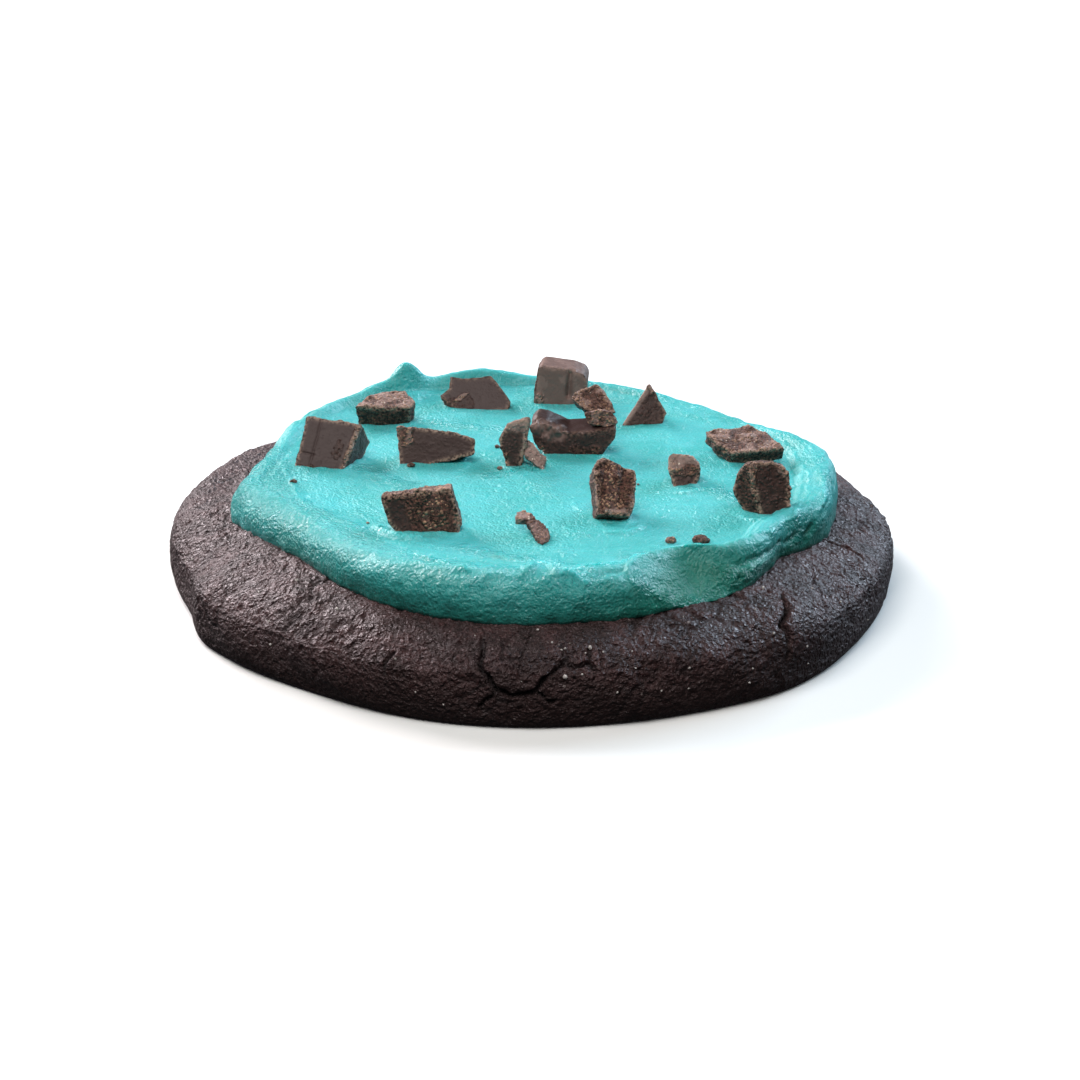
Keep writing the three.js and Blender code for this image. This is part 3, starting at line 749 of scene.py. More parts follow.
# %% Strokes, pits and wet paths
# Each stroke has a height and a width in mm, and a path
STROKES = [
    (0.4, 0.32, [(-16.5, -31.8, 16.5), (-12.5, -35.7, 16.7), (-9.3, -38.5, 16.9), (-5, -40.4, 17),
                 (-1.5, -40.9, 17)]),
    (0.6, 0.45, [(-1.5, -40.9, 17), (-0.1, -39.1, 16.8), (2, -36.8, 16.4), (2.7, -39.2, 16.9),
                 (3.5, -41, 17), (4.4, -40, 16.9), (6.2, -41.2, 16.8), (9.4, -41.2, 16.4)]),
    (-0.35, 0.5, [(2.4, -37.6, 16.4), (5.5, -39.3, 16.8), (9.5, -39.6, 16.6), (12, -37.8, 16.6)]),
    (0.5, 0.4, [(9.4, -41.2, 16.2), (10.9, -40.2, 16.8), (12.5, -36.9, 16.7), (13.7, -33.5, 16.3)]),
    (0.35, 0.3, [(-8.6, -28.6, 15.8), (-6.7, -30, 15.9), (-3.9, -32, 16), (-1.4, -33.8, 16),
                 (1.7, -35.1, 16.2), (5.4, -37, 16.5), (8.5, -37.4, 16.7), (11.6, -35.8, 16.6),
                 (13.7, -33.5, 16.3)]),
    (0.2, 0.35, [(-0.4, -42.6, 16.3), (3.5, -42.7, 16.1), (5.9, -42.2, 16.3)]),
    (0.85, 0.36, [(13.2, -39.4, 16.2), (14.8, -39.6, 14.8), (16.5, -39.2, 13.2), (18.4, -38.4, 12.1),
                  (20.7, -37.2, 11.4)]),
    (-0.4, 0.6, [(15.2, -38.6, 15.6), (18.4, -37.2, 13.8), (22.5, -36, 12)]),
    (0.25, 0.8, [(13.7, -33.5, 16.4), (16, -33.9, 16.8), (18.6, -32.8, 16.8), (21.2, -31.9, 16.9),
                 (23.7, -31.3, 16.9), (26.3, -30.5, 16.6), (29, -28.3, 16.4), (31.2, -25, 16)]),
    (0.4, 0.32, [(25.6, -30.2, 16.7), (30.6, -25, 16.7), (33.6, -20.6, 16.7), (35.1, -18.4, 17)]),
    (-0.55, 0.42, [(23.5, -33.6, 14.9), (26.5, -31.9, 14.7), (29.4, -29, 14.7), (33, -23, 14.2),
                   (35.6, -19.8, 14)]),
    (0.4, 0.4, [(26.5, -32.9, 13.9), (29.2, -30.3, 13.9), (32.6, -25, 13.4), (35.6, -20.6, 13.6)]),
    (-0.9, 0.55, [(37.2, -18.6, 15), (36.2, -19.4, 13.6), (35.8, -20, 12)]),
    (0.4, 0.35, [(39.2, -3, 17.2), (39.4, -9, 17.1), (38.8, -13.3, 16.7), (37.5, -17, 16)]),
    (0.32, 0.3, [(37.4, 0, 17), (37.6, -6, 17), (36.6, -12.9, 16.9), (34.5, -17.6, 16.8)]),
    (0.25, 0.3, [(35.4, -2, 16.8), (35.6, -7, 16.8), (34.4, -13, 16.7), (31.6, -18.6, 16.6)]),
    (0.2, 0.22, [(6.3, -11.8, 16), (5.6, -13.6, 16), (6, -15.6, 16), (7.4, -16.4, 16)]),
    (0.2, 0.25, [(4.6, -24.2, 16.2), (5.4, -25.6, 16.2), (7.2, -25.4, 16.2), (6.6, -24.2, 16.2)]),
    (0.18, 0.4, [(-36.4, 4.5, 16.8), (-34.2, -0.6, 16.3), (-31, -11.8, 16), (-27.3, -20.3, 16.3),
                 (-23.9, -22.9, 16.2), (-20.8, -22.6, 15.9)]),
    (0.2, 0.35, [(-24.4, 3.8, 16), (-22.1, -1.6, 15.9), (-18, -4.7, 15.8)]),
    (0.14, 0.3, [(-26.4, -2, 16), (-22.8, -4.6, 15.8), (-18.4, -9.6, 15.9)]),
    (0.75, 0.6, [(-20.6, -21.8, 16), (-19.4, -23.6, 16), (-17.8, -25.2, 16), (-15.6, -26, 16),
                 (-13, -26.2, 16)]),
    (0.4, 0.45, [(9, -23.6, 16), (11, -24.4, 16), (13.4, -23, 16), (14.4, -21, 16)]),
    (0.35, 0.4, [(26.4, -17, 16), (28.4, -19.4, 16), (31, -20, 16)]),
    (0.35, 0.45, [(19.4, -9.2, 16), (21.8, -9.4, 16), (24.6, -8, 16)]),
    (0.16, 0.35, [(-19.6, -24.5, 16), (-13.7, -27.9, 15.9), (-9.4, -29.4, 15.8)]),
    (0.18, 0.3, [(-5.1, -2.6, 16), (-3.8, -1, 16), (-2.6, 1.6, 16)]),
    (0.12, 0.3, [(-12.8, -4.3, 16), (-8.7, -2.4, 16), (-5, -1.8, 16)]),
    (0.14, 0.35, [(-1.6, -12.1, 16.1), (1.8, -10.4, 16), (5.2, -9.6, 15.9)]),
    (0.14, 0.35, [(-6.9, -14.2, 16.1), (-4.2, -16, 16.1), (1.5, -15.3, 16.1)]),
    (0.16, 0.35, [(3.7, -22.3, 16.3), (6.2, -24.9, 16.2), (9.8, -25.6, 16.1)]),
    (0.16, 0.3, [(22.8, -8.6, 16), (24.8, -10.1, 16), (27, -12, 16.1)]),
    (0.14, 0.35, [(-15.3, 22, 16.2), (-10.8, 19.7, 16.2), (-5.1, 18.6, 16.1)]),
    (0.3, 0.5, [(-17.1, 33, 16.6), (-18, 30.5, 16.3), (-18.6, 28, 16.1)]),
]
CRATER = ((26.5, -32.6, 13.1), 0.75, 0.35)
WALL_PITS = [(-19.9, -36.4, 15.7), (-18.4, -37.6, 15.8), (-16.7, -38.8, 15.6), (-19.9, -28, 16.5),
             (-21.6, -19.7, 15.9)]
# Where the knife pressed last, the skin is smooth and wet: paths with a width and a strength
WET_PATHS = [
    (1.3, 1.0, [(13.2, -39.4, 16), (14.8, -39.6, 14.8), (16.5, -39.2, 13.2), (18.4, -38.4, 12.1),
                (20.7, -37.2, 11.4)]),
    (1.2, 0.8, [(24.5, -33.6, 14), (26.5, -32.6, 13.1), (29.4, -30, 13.2), (32.6, -25, 13.6),
                (36, -20, 14)]),
    (1.4, 0.45, [(39.8, 2, 17), (39.6, -6, 17), (38.4, -13, 16.8), (35.5, -18.5, 16.8), (31, -25, 16.8)]),
    (4.4, 1.0, [(-38.6, 4, 16.8), (-37.6, -5, 16.8), (-34.4, -13, 16.8), (-29.5, -20.5, 16.8),
                (-23, -26.5, 16.8)]),
    (3.0, 0.8, [(-23, -29, 16.6), (-17, -34, 16.6), (-10, -38, 16.2), (-2, -39.8, 16.2), (7, -40, 16)]),
    (1.4, 0.7, [(-8.6, -28.6, 15.8), (-3.9, -32, 16), (1.7, -35.1, 16.2), (8.5, -37.4, 16.7),
                (13.7, -33.5, 16.3)]),
    (2.0, 0.7, [(-23.4, 1, 16), (-20, -3, 16), (-17, -6, 16)]),
    (1.6, 0.6, [(21.8, -8, 16), (24.6, -8.6, 16), (27, -12, 16)]),
    (1.6, 0.6, [(-6, -2, 16), (-3.8, -1, 16), (-2.6, 1.6, 16)]),
    (2.2, 0.5, [(-15.3, 22, 16), (-10.8, 19.7, 16), (-5.1, 18.6, 16), (3, 19, 16)]),
]
print("strokes:", len(STROKES), "wet paths:", len(WET_PATHS))

# %% [markdown]
# The relief is the sum of those strokes, of broad and fine knife marks that follow the two directions, of
# lumps on the wall, where no knife went, and of small air bubbles that burst in the skin.

# %% Relief of the frosting
PATH_PIECES = 3
TORN_EDGE = (2.0, 75, 0.8)
WET_PATCH_SIZE = 5.0
WET_PATCH_RANGE = (0.1, 0.7)
WET_PATCH_STRENGTH = 0.3
STROKE_WANDER = 0.42
STROKE_WANDER_SIZE = 1.5
STROKE_WANDER_KEEP = 0.6
STROKE_END = 0.15
LOW_END = 0.3
CRATER_FLAT = 0.4
# Layers of knife marks and lumps: the size of one in mm, the seed and the amount
BROAD_ACROSS = (2.4, 84, 1)
BROAD_ROUND = (2.2, 85, 1)
FINE_ACROSS = (0.9, 86, 1)
FINE_ROUND = (0.8, 87, 1)
RIM_WANDER = (7.0, 81, 0.8)
ACROSS_WANDER = (8.0, 82, 0.8)
RIM_BORDER = (9.0, 83, 3)
CALM_PLACES = (10.0, 88, 1)
WALL_LUMPS = (3.2, 91, 0.2)
WALL_GRIT = (1.3, 92, 0.1)
WALL_STREAKS = (0.9, 89, 0.04)
BAND_TEARS = (1.9, 93, 0.16)
BAND_GRIT = (0.8, 94, 0.07)
FINEST_GRIT = (0.45, 95, 0.01)
SQUEEZE = 0.16
STROKE_RADIUS = 38
ACROSS_TILT = 0.05
RIM_RANGE = (24, 32)
CALM_BORDER = 0.4
BROAD_HEIGHT = 0.17
FINE_HEIGHTS = (0.02, 0.07)
TOP_BUBBLES = 90
TOP_FROM = 13.5
AIR_RADII = (0.25, 0.5)
AIR_DEPTH = 0.3
AIR_FLAT = 0.2
AIR_REACH = 1.5
AIR_LIP = 0.06
AIR_LIP_PLACE = 1.2
AIR_LIP_WIDTH = 0.3


def wet_share(places):
    """How wet the skin is, from 0 to 1."""
    share = np.zeros(len(places))
    torn_places = places + layer(places, TORN_EDGE)[:, None]
    for width, strength, path in WET_PATHS:
        away, _ = distance_to_path(torn_places, smooth_path(path, PATH_PIECES))
        share = np.maximum(share, strength * bell(away, width))
    patches = smoothstep(rough_noise(places, WET_PATCH_SIZE, seed=76), *WET_PATCH_RANGE)
    return np.maximum(share, WET_PATCH_STRENGTH * patches)


def stroke_relief(places):
    """Raised and sunken strokes, in mm."""
    wander = rough_steps(places, STROKE_WANDER_SIZE, seed=71, keep=STROKE_WANDER_KEEP)
    wandered = places + STROKE_WANDER * wander
    height = np.zeros(len(places))
    for tall, width, path in STROKES:
        away, along = distance_to_path(wandered, smooth_path(path, PATH_PIECES))
        ends = smoothstep(along, 0, STROKE_END) * (1 - smoothstep(along, 1 - STROKE_END, 1))
        height += tall * bell(away, width) * mix(LOW_END, 1, ends)
    centre, radius, depth = CRATER
    return height - depth * bowl(np.linalg.norm(places - np.array(centre), axis=1), radius, CRATER_FLAT)


def knife_relief(places, wall, band):
    """Strokes round the rim, from side to side in the middle, and lumps on the wall."""
    radius = np.hypot(places[:, 0], places[:, 1])
    angle = np.arctan2(places[:, 1], places[:, 0])
    short_round = SQUEEZE * STROKE_RADIUS
    round_rim = np.stack([radius, short_round * np.cos(angle), short_round * np.sin(angle)], axis=1)
    round_rim[:, 0] += layer(places, RIM_WANDER)
    across = places * np.array([SQUEEZE, 1, 1])
    across[:, 1] += ACROSS_TILT * places[:, 0] + layer(places, ACROSS_WANDER)
    near_rim = smoothstep(radius + layer(places, RIM_BORDER), *RIM_RANGE)
    broad = mix(layer(across, BROAD_ACROSS), layer(round_rim, BROAD_ROUND), near_rim)
    fine = mix(layer(across, FINE_ACROSS), layer(round_rim, FINE_ROUND), near_rim)
    calm = smoothstep(layer(places, CALM_PLACES), -CALM_BORDER, CALM_BORDER)
    strokes = (1 - wall) * (BROAD_HEIGHT * broad + mix(*FINE_HEIGHTS, calm) * fine)
    lumps = wall * (layer(places, WALL_LUMPS) + layer(places, WALL_GRIT) + layer(round_rim, WALL_STREAKS))
    torn = band * (np.abs(layer(places, BAND_TEARS)) + layer(places, BAND_GRIT))
    return strokes + lumps + torn + layer(places, FINEST_GRIT)


def bubble_relief(places):
    """Small open air bubbles, in mm below the surface."""
    draws = np.random.default_rng(11)
    depth = np.zeros(len(places))
    top = np.flatnonzero(places[:, 2] > TOP_FROM)
    centres = [np.array(place) for place in WALL_PITS]
    centres += [places[number] for number in draws.choice(top, TOP_BUBBLES, replace=False)]
    for centre in centres:
        radius = draws.uniform(*AIR_RADII)
        box, near = near_points(places, centre, AIR_REACH * radius)
        depth[box] += AIR_DEPTH * bowl(near, radius, AIR_FLAT)
        depth[box] -= AIR_LIP * bell(near - AIR_LIP_PLACE * radius, AIR_LIP_WIDTH * radius)
    return depth


flat_places = frosting_places.reshape(-1, 3)
flat_wall = wall_share.ravel()
strokes = stroke_relief(flat_places)
knife = knife_relief(flat_places, flat_wall, band_share.ravel())
bubbles = bubble_relief(flat_places)
print("knife strokes in mm:", knife.min().round(2), "to", knife.max().round(2))

# %% [markdown]
# ## Frosting pushed up round the chocolate
# A piece that falls into soft frosting pushes up a small lip. The distance from each point of the frosting
# to the nearest piece of chocolate comes from a search tree over the triangles of the solid model, and the
# surface rises where that distance is short.

# %% Lips round the chocolate
CHOCOLATE_NODES = sorted(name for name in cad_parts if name.startswith("chocolate_"))
LIP_HEIGHT = 0.26
LIP_WIDTH = 0.6
LIP_REACH = 3.0
LIP_PATCH_SIZE = 2.4
LIP_PATCH_RANGE = (-0.3, 0.8)
LIP_SHARES = (0.4, 1.2)


def search_tree(names):
    """One search tree over the triangles of these nodes, in mm."""
    points = []
    faces = []
    for name in names:
        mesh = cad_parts[name].data
        start = len(points)
        points += [vertex.co / MM for vertex in mesh.vertices]
        faces += [[start + corner for corner in face.vertices] for face in mesh.polygons]
    return BVHTree.FromPolygons(points, faces)


def lip_relief(places, level):
    """How far the frosting rises beside the chocolate."""
    tree = search_tree(CHOCOLATE_NODES)
    away = np.full(len(places), LIP_REACH)
    for number in np.flatnonzero(level):
        _, _, _, distance = tree.find_nearest(Vector(places[number]), LIP_REACH)
        if distance is not None:
            away[number] = distance
    patches = smoothstep(rough_noise(places, LIP_PATCH_SIZE, seed=97, octaves=2), *LIP_PATCH_RANGE)
    return LIP_HEIGHT * mix(*LIP_SHARES, patches) * bell(away, LIP_WIDTH)


lips = lip_relief(flat_places, (flat_wall < 0.5) & (flat_places[:, 2] > TOP_FROM))
print("highest lip in mm:", lips.max().round(2))

# %% [markdown]
# Two masks go with the mesh. One is painted shade: the wall's colour turns darker towards its foot and in
# the scoop at the front right. The other says how wet the skin is.

# %% Put the frosting together
UNDER_RINGS = len(UNDER_SHARES)
RELIEF_RINGS = 5
# Painted shade on the wall: how dark towards the foot, changed round the rim, and in the scoop
FOOT_SHADE_SHARE = 0.7
FOOT_SHADE_POWER = 1.5
LIT_WALL = [(195, -0.45, 16), (300, 0.75, 12), (255, 0.15, 20), (332, 0.25, 14)]
SCOOP_SHADE = [(302, 0.6, 9)]
SCOOP_BOTTOM = (0.1, 0.5)
SCOOP_TOP = (0.95, 1.1)

ring_number = np.arange(len(flat_places)) // FROSTING_SECTORS
foot_share = smoothstep(ring_number, UNDER_RINGS, UNDER_RINGS + RELIEF_RINGS)
relief = (ring_number >= UNDER_RINGS) * (foot_share * (knife + strokes - bubbles) + lips)
normals = grid_normals(frosting_places).reshape(-1, 3)
spread_places = (flat_places + normals * relief[:, None]).reshape(frosting_places.shape)
wall_step = (np.arange(len(frosting_places)) - UNDER_RINGS) / WALL_STEPS
foot_shade_share = np.where(wall_step < 1, np.clip(1 - wall_step, 0, 1) ** FOOT_SHADE_POWER, 0)
in_scoop = smoothstep(wall_step, *SCOOP_BOTTOM) * (1 - smoothstep(wall_step, *SCOOP_TOP))
frosting_angles = angles_round(FROSTING_SECTORS)
shade = foot_shade_share[:, None] * around_rim(frosting_angles, FOOT_SHADE_SHARE, LIT_WALL)[None, :]
shade = shade + in_scoop[:, None] * around_rim(frosting_angles, 0, SCOOP_SHADE)[None, :]
frosting_masks = {
    "deep": np.clip(shade, 0, 1),
    "wet": wet_share(flat_places).reshape(wall_share.shape),
}
frosting = ring_mesh("spread_frosting", spread_places, frosting_masks)
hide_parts("frosting")
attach(frosting, BODY)
print("triangles in the frosting:", triangles(frosting))

# %% [markdown]
# ## Chopped chocolate
# A bar of chocolate is smooth where it lay in its mould or where the knife went through, and rough and
# crumbly where it snapped. Each solid piece already has the right flat faces. A copy of it is remeshed into
# small even quads, and then every point moves along its normal by noise that depends on the kind of face
# that it lies on. A mask stores how broken each point is, so that the material can follow.

# %% Kinds of faces, and the pieces with them
FACE_KINDS = {
    "moulded": {"broken": 0.0, "broad": 0.025, "fine": 0.01, "pale": 0.0},
    "bloomed": {"broken": 0.1, "broad": 0.05, "fine": 0.02, "pale": 0.55},
    "scraped": {"broken": 0.3, "broad": 0.14, "fine": 0.08, "pale": 0.9},
    "crumpled": {"broken": 0.05, "broad": 1.0, "fine": 0.26, "pale": 0.5},
    "cut": {"broken": 0.27, "broad": 0.1, "fine": 0.04, "pale": 0.05},
    "snapped": {"broken": 0.55, "broad": 0.14, "fine": 0.08, "pale": 0.0},
    "crumbly": {"broken": 1.0, "broad": 0.24, "fine": 0.18, "pale": 0.12},
    "flaky": {"broken": 0.9, "broad": 0.26, "fine": 0.2, "pale": 0.75},
    "dusted": {"broken": 0.75, "broad": 0.2, "fine": 0.14, "pale": 0.85},
}
FRONT = "front"
UP = (0, 0, 1)

# For each piece: the foot [x, y, lift], lean and turn of its front face, and the kinds of its faces
CHUNKS = {
    "left_block": ((-29.7, 0, 0), 36, 0, [(FRONT, "moulded"), ((1, -0.3, 0.2), "cut")]),
    "back_left_slab": ((-21.8, 18.6, 2.8), 76, 0, [(FRONT, "dusted"), ((0, -1, -0.2), "snapped")]),
    "middle_wedge": ((-14.3, 2.5, 0), 26, 0, [(FRONT, "moulded"), ((-0.7, -0.7, 0.5), "dusted")]),
    "back_plate": ((-7.9, 26.7, 0), 42, 0, [(FRONT, "moulded"), ((-0.5, -0.8, -0.1), "crumbly")]),
    "back_block": ((3.4, 30.2, 0), 8, 0, [(FRONT, "bloomed"), (UP, "bloomed"), ((1, 0, 0), "bloomed")]),
    "curved_lump": ((6.5, 5.9, 0), 4, 0, [(FRONT, "cut"), (UP, "moulded")]),
    "folded_curl": ((-2.4, 1.7, 0), 10, 0, [(FRONT, "cut"), ((-0.35, -0.6, 0.7), "bloomed")]),
    "resting_flake": ((9.6, 9.2, 4.6), 46, 0, [(FRONT, "flaky")]),
    "back_pyramid": ((16.5, 20.5, 0), 30, 0, [(FRONT, "cut")]),
    "right_slab": ((28, 2.1, 2), 72, 0, [(FRONT, "dusted"), ((0, -1, -0.3), "snapped")]),
    "right_block": ((31, -17.7, 0), 10, 0,
                    [(FRONT, "cut"), ((-0.55, -0.83, 0), "snapped"), ((0.85, -0.5, 0.1), "dusted")]),
    "front_left_plate": ((-14.1, -23.9, 0), 12, 0, [(FRONT, "snapped"), (UP, "flaky")]),
    "front_prism": ((10.5, -20.6, 1.2), 45, 16, [(FRONT, "crumbly"), ((-1, -0.2, 0), "snapped")]),
    "small_lump": ((20.7, -6.6, 0), 30, 0, [(FRONT, "dusted"), ((0, -0.95, -0.3), "snapped")]),
}
# Marks on front faces: from and to as [right, up] from the foot, depth and width in mm
MARKS = {
    "left_block": [((0.6, 8), (-1.5, -1), 0.085, 0.13), ((-3.3, 2.6), (-0.4, 2), 0.07, 0.12)],
    "back_block": [((2.3, 5.2), (2.0, 1.4), 0.75, 0.42)],
    "right_block": [((-1.8, 6.6), (-2.4, 0.7), -0.16, 0.3)],
    "front_left_plate": [((-0.4, 5.2), (-0.9, -0.8), 0.12, 0.25), ((1.5, 5.2), (1.3, -0.6), 0.18, 0.3)],
    "front_prism": [((0.9, 7.3), (-1.4, 0.6), 0.4, 0.4), ((3.2, 6.7), (1.3, 1), 0.4, 0.45)],
}
# Patches on front faces that differ from the rest: from and to as [right, up], radius in mm, and the kind
PATCHES = {
    "left_block": [((5.7, 6.5), (3.5, -0.3), 0.45, "dusted"), ((3, 3.6), (2.5, 2.1), 0.7, "cut"),
                   ((-3.2, 0.5), (3.1, -1), 0.3, "dusted")],
    "middle_wedge": [((-3.6, 4.9), (-3.3, 3.6), 1.1, "flaky"), ((-2.2, 5.5), (2.4, 5), 0.25, "dusted"),
                     ((2.4, 5), (6.2, 3.8), 0.25, "dusted")],
    "back_plate": [((-3.8, 1), (-2, 1), 1.3, "cut"), ((-2.2, 2.6), (-3.9, 1.3), 0.35, "dusted")],
    "back_block": [((-2.3, 1.3), (-2.3, 0.5), 0.5, "dusted")],
    "curved_lump": [((-5.2, 4.2), (-3, 3.6), 1.7, "crumpled"), ((-0.6, 0.4), (2.4, 0.6), 0.9, "snapped"),
                    ((-5.6, 1), (-4.4, -0.6), 0.7, "flaky")],
    "folded_curl": [((-0.5, 5.8), (1, 5.9), 1.0, "scraped"), ((1.4, 6.8), (1.0, 0), 0.3, "scraped"),
                    ((-1.6, 2.4), (-1, 0), 0.5, "crumbly")],
    "back_pyramid": [((0.4, 5.6), (-3, 0.8), 0.7, "bloomed"), ((0.8, 5.6), (1, 5), 0.5, "flaky")],
    "right_slab": [((-3.2, 3), (-1.6, 0.2), 1.2, "flaky"), ((-0.2, -0.6), (7.1, 0.8), 0.35, "flaky")],
    "right_block": [((-1.8, 6.6), (-2.4, 0.7), 0.4, "flaky"), ((1.2, 6.8), (2.8, 4.7), 0.5, "flaky"),
                    ((2.8, 4.7), (2.7, 0.9), 0.4, "flaky")],
    "front_left_plate": [((-3.6, 3), (-2.6, 0.6), 1.4, "cut"), ((1.2, 3.6), (1.6, 2), 1.9, "crumbly"),
                         ((4.5, 1.3), (4.7, 0.3), 0.6, "dusted")],
    "front_prism": [((-2.2, 0.9), (2.9, -0.1), 0.4, "dusted"), ((-1.4, 6.6), (-1.8, 1.4), 0.35, "dusted")],
    "small_lump": [((-1.6, 3.9), (1.6, 3.6), 0.8, "scraped"), ((-1.6, 2.4), (1.9, 2.2), 0.5, "flaky"),
                   ((-0.8, 0.6), (1.6, 0.6), 1.1, "cut")],
}
# How often the mesh is smoothed before it is roughened: more for pieces with rounded edges
SMOOTHING = {"back_block": 60, "curved_lump": 26, "small_lump": 22, "back_plate": 10}
LEAST_SMOOTHING = 4
# Pieces whose edges are less worn and dusty than the others', with less painted highlight on them
EDGE_WEAR_AND_HIGHLIGHT = {"curved_lump": 0.25, "back_block": 0.3, "back_plate": 0.5, "back_pyramid": 0.6}
# Slight growth about the foot, along x, y and z
GROWTH = {"folded_curl": (1.16, 1, 1), "small_lump": (1.05, 1.05, 1), "back_pyramid": (1.0, 1, 1.04)}


def face_basis(lean, turn):
    """Turns [right, up, out] of a leaning front face into x, y, z."""
    return Matrix.Rotation(math.radians(turn), 3, "Z") @ Matrix.Rotation(math.radians(90 - lean), 3, "X")


print("pieces of chocolate:", len(CHUNKS))

# %% Remesh and roughen one piece
CHUNK_VOXEL = 0.13
WELD_DISTANCE = 0.01
SHARP_TURN = math.radians(25)
DIRECTION_SHARPNESS = 10
LEAST_SNAPPED = 0.03
# Sizes and amounts of the relief in mm. The seeds follow the number of the piece.
FRAY = 0.35
FRAY_SIZE = 0.9
PATCH_EDGE = (0.6, 1.2)
FACET_SIZE = 2.6
FACET_LEVEL = 0.5
FLAKE_SIZE = 1.0
FLAKE_LEVEL = 0.4
FLAKE_WANDER = 0.3
FLAKE_WANDER_SIZE = 1.1
GRANULE_SIZE = 0.55
GRANULE_LEVEL = 0.6
GRANULE_SHARE = 0.9
GRIT_SIZE = 0.5
GRIT_HEIGHT = 0.008
MARK_WANDER = (0.7, 9, 0.06)
EDGE_WIDTH = 0.35
CHIP_SIZE = 1.2
CHIP_RANGE = (0.0, 0.5)
CHIP_DEPTH = 0.12
SMOOTH_CHIP_SHARE = 0.2
SEED_SHIFT = 10.0


def mesh_from(name, shape):
    """A mesh with this shape, which is freed."""
    mesh = bpy.data.meshes.new(name)
    shape.to_mesh(mesh)
    shape.free()
    return mesh


def welded_copy(name, mesh):
    """An object with a copy of a mesh whose doubled corners are joined."""
    shape = bmesh.new()
    shape.from_mesh(mesh)
    bmesh.ops.remove_doubles(shape, verts=shape.verts, dist=WELD_DISTANCE * MM)
    return new_object(name, mesh_from(name, shape))


def sharp_edges(mesh):
    """The two ends, in mm, of each edge that stands out sharply."""
    shape = bmesh.new()
    shape.from_mesh(mesh)
    ends = []
    for edge in shape.edges:
        if len(edge.link_faces) == 2 and edge.is_convex and edge.calc_face_angle() > SHARP_TURN:
            ends.append([vertex.co / MM for vertex in edge.verts])
    shape.free()
    return np.array(ends)


def remesh(piece, voxel, smoothing):
    """Even small quads all over a piece, with its edges rounded by this many steps of smoothing."""
    modifier = piece.modifiers.new("even quads", "REMESH")
    modifier.mode = "VOXEL"
    modifier.voxel_size = voxel * MM
    softener = piece.modifiers.new("worn edges", "SMOOTH")
    softener.factor = 0.5
    softener.iterations = smoothing
    graph = bpy.context.evaluated_depsgraph_get()
    even = bpy.data.meshes.new_from_object(piece.evaluated_get(graph))
    piece.modifiers.clear()
    piece.data = even
    even.shade_smooth()


def mesh_arrays(mesh):
    """The place in mm and the normal of each point."""
    places = np.zeros(len(mesh.vertices) * 3, np.float32)
    normals = np.zeros(len(mesh.vertices) * 3, np.float32)
    mesh.vertices.foreach_get("co", places)
    mesh.vertices.foreach_get("normal", normals)
    return places.reshape(-1, 3).astype(float) / MM, normals.reshape(-1, 3).astype(float)


def finish_mesh(mesh, places, masks):
    """Moves the points of a mesh to these places, in mm, and stores its masks."""
    mesh.vertices.foreach_set("co", (places * MM).astype(np.float32).ravel())
    mesh.update()
    for name, values in masks.items():
        write_mask(mesh, name, np.broadcast_to(values, len(places)))


def face_shares(normals, faces, basis):
    """The share of each kind of face at each point, by the direction that the point faces."""
    weights = {kind: np.zeros(len(normals)) for kind in FACE_KINDS}
    weights["snapped"] += LEAST_SNAPPED
    for direction, kind in faces:
        direction = basis @ Vector((0, 0, 1)) if direction == FRONT else Vector(direction).normalized()
        facing = np.clip(normals @ np.array(direction), 0, 1)
        weights[kind] += facing**DIRECTION_SHARPNESS
    total = sum(weights.values())
    return {kind: weight / total for kind, weight in weights.items()}


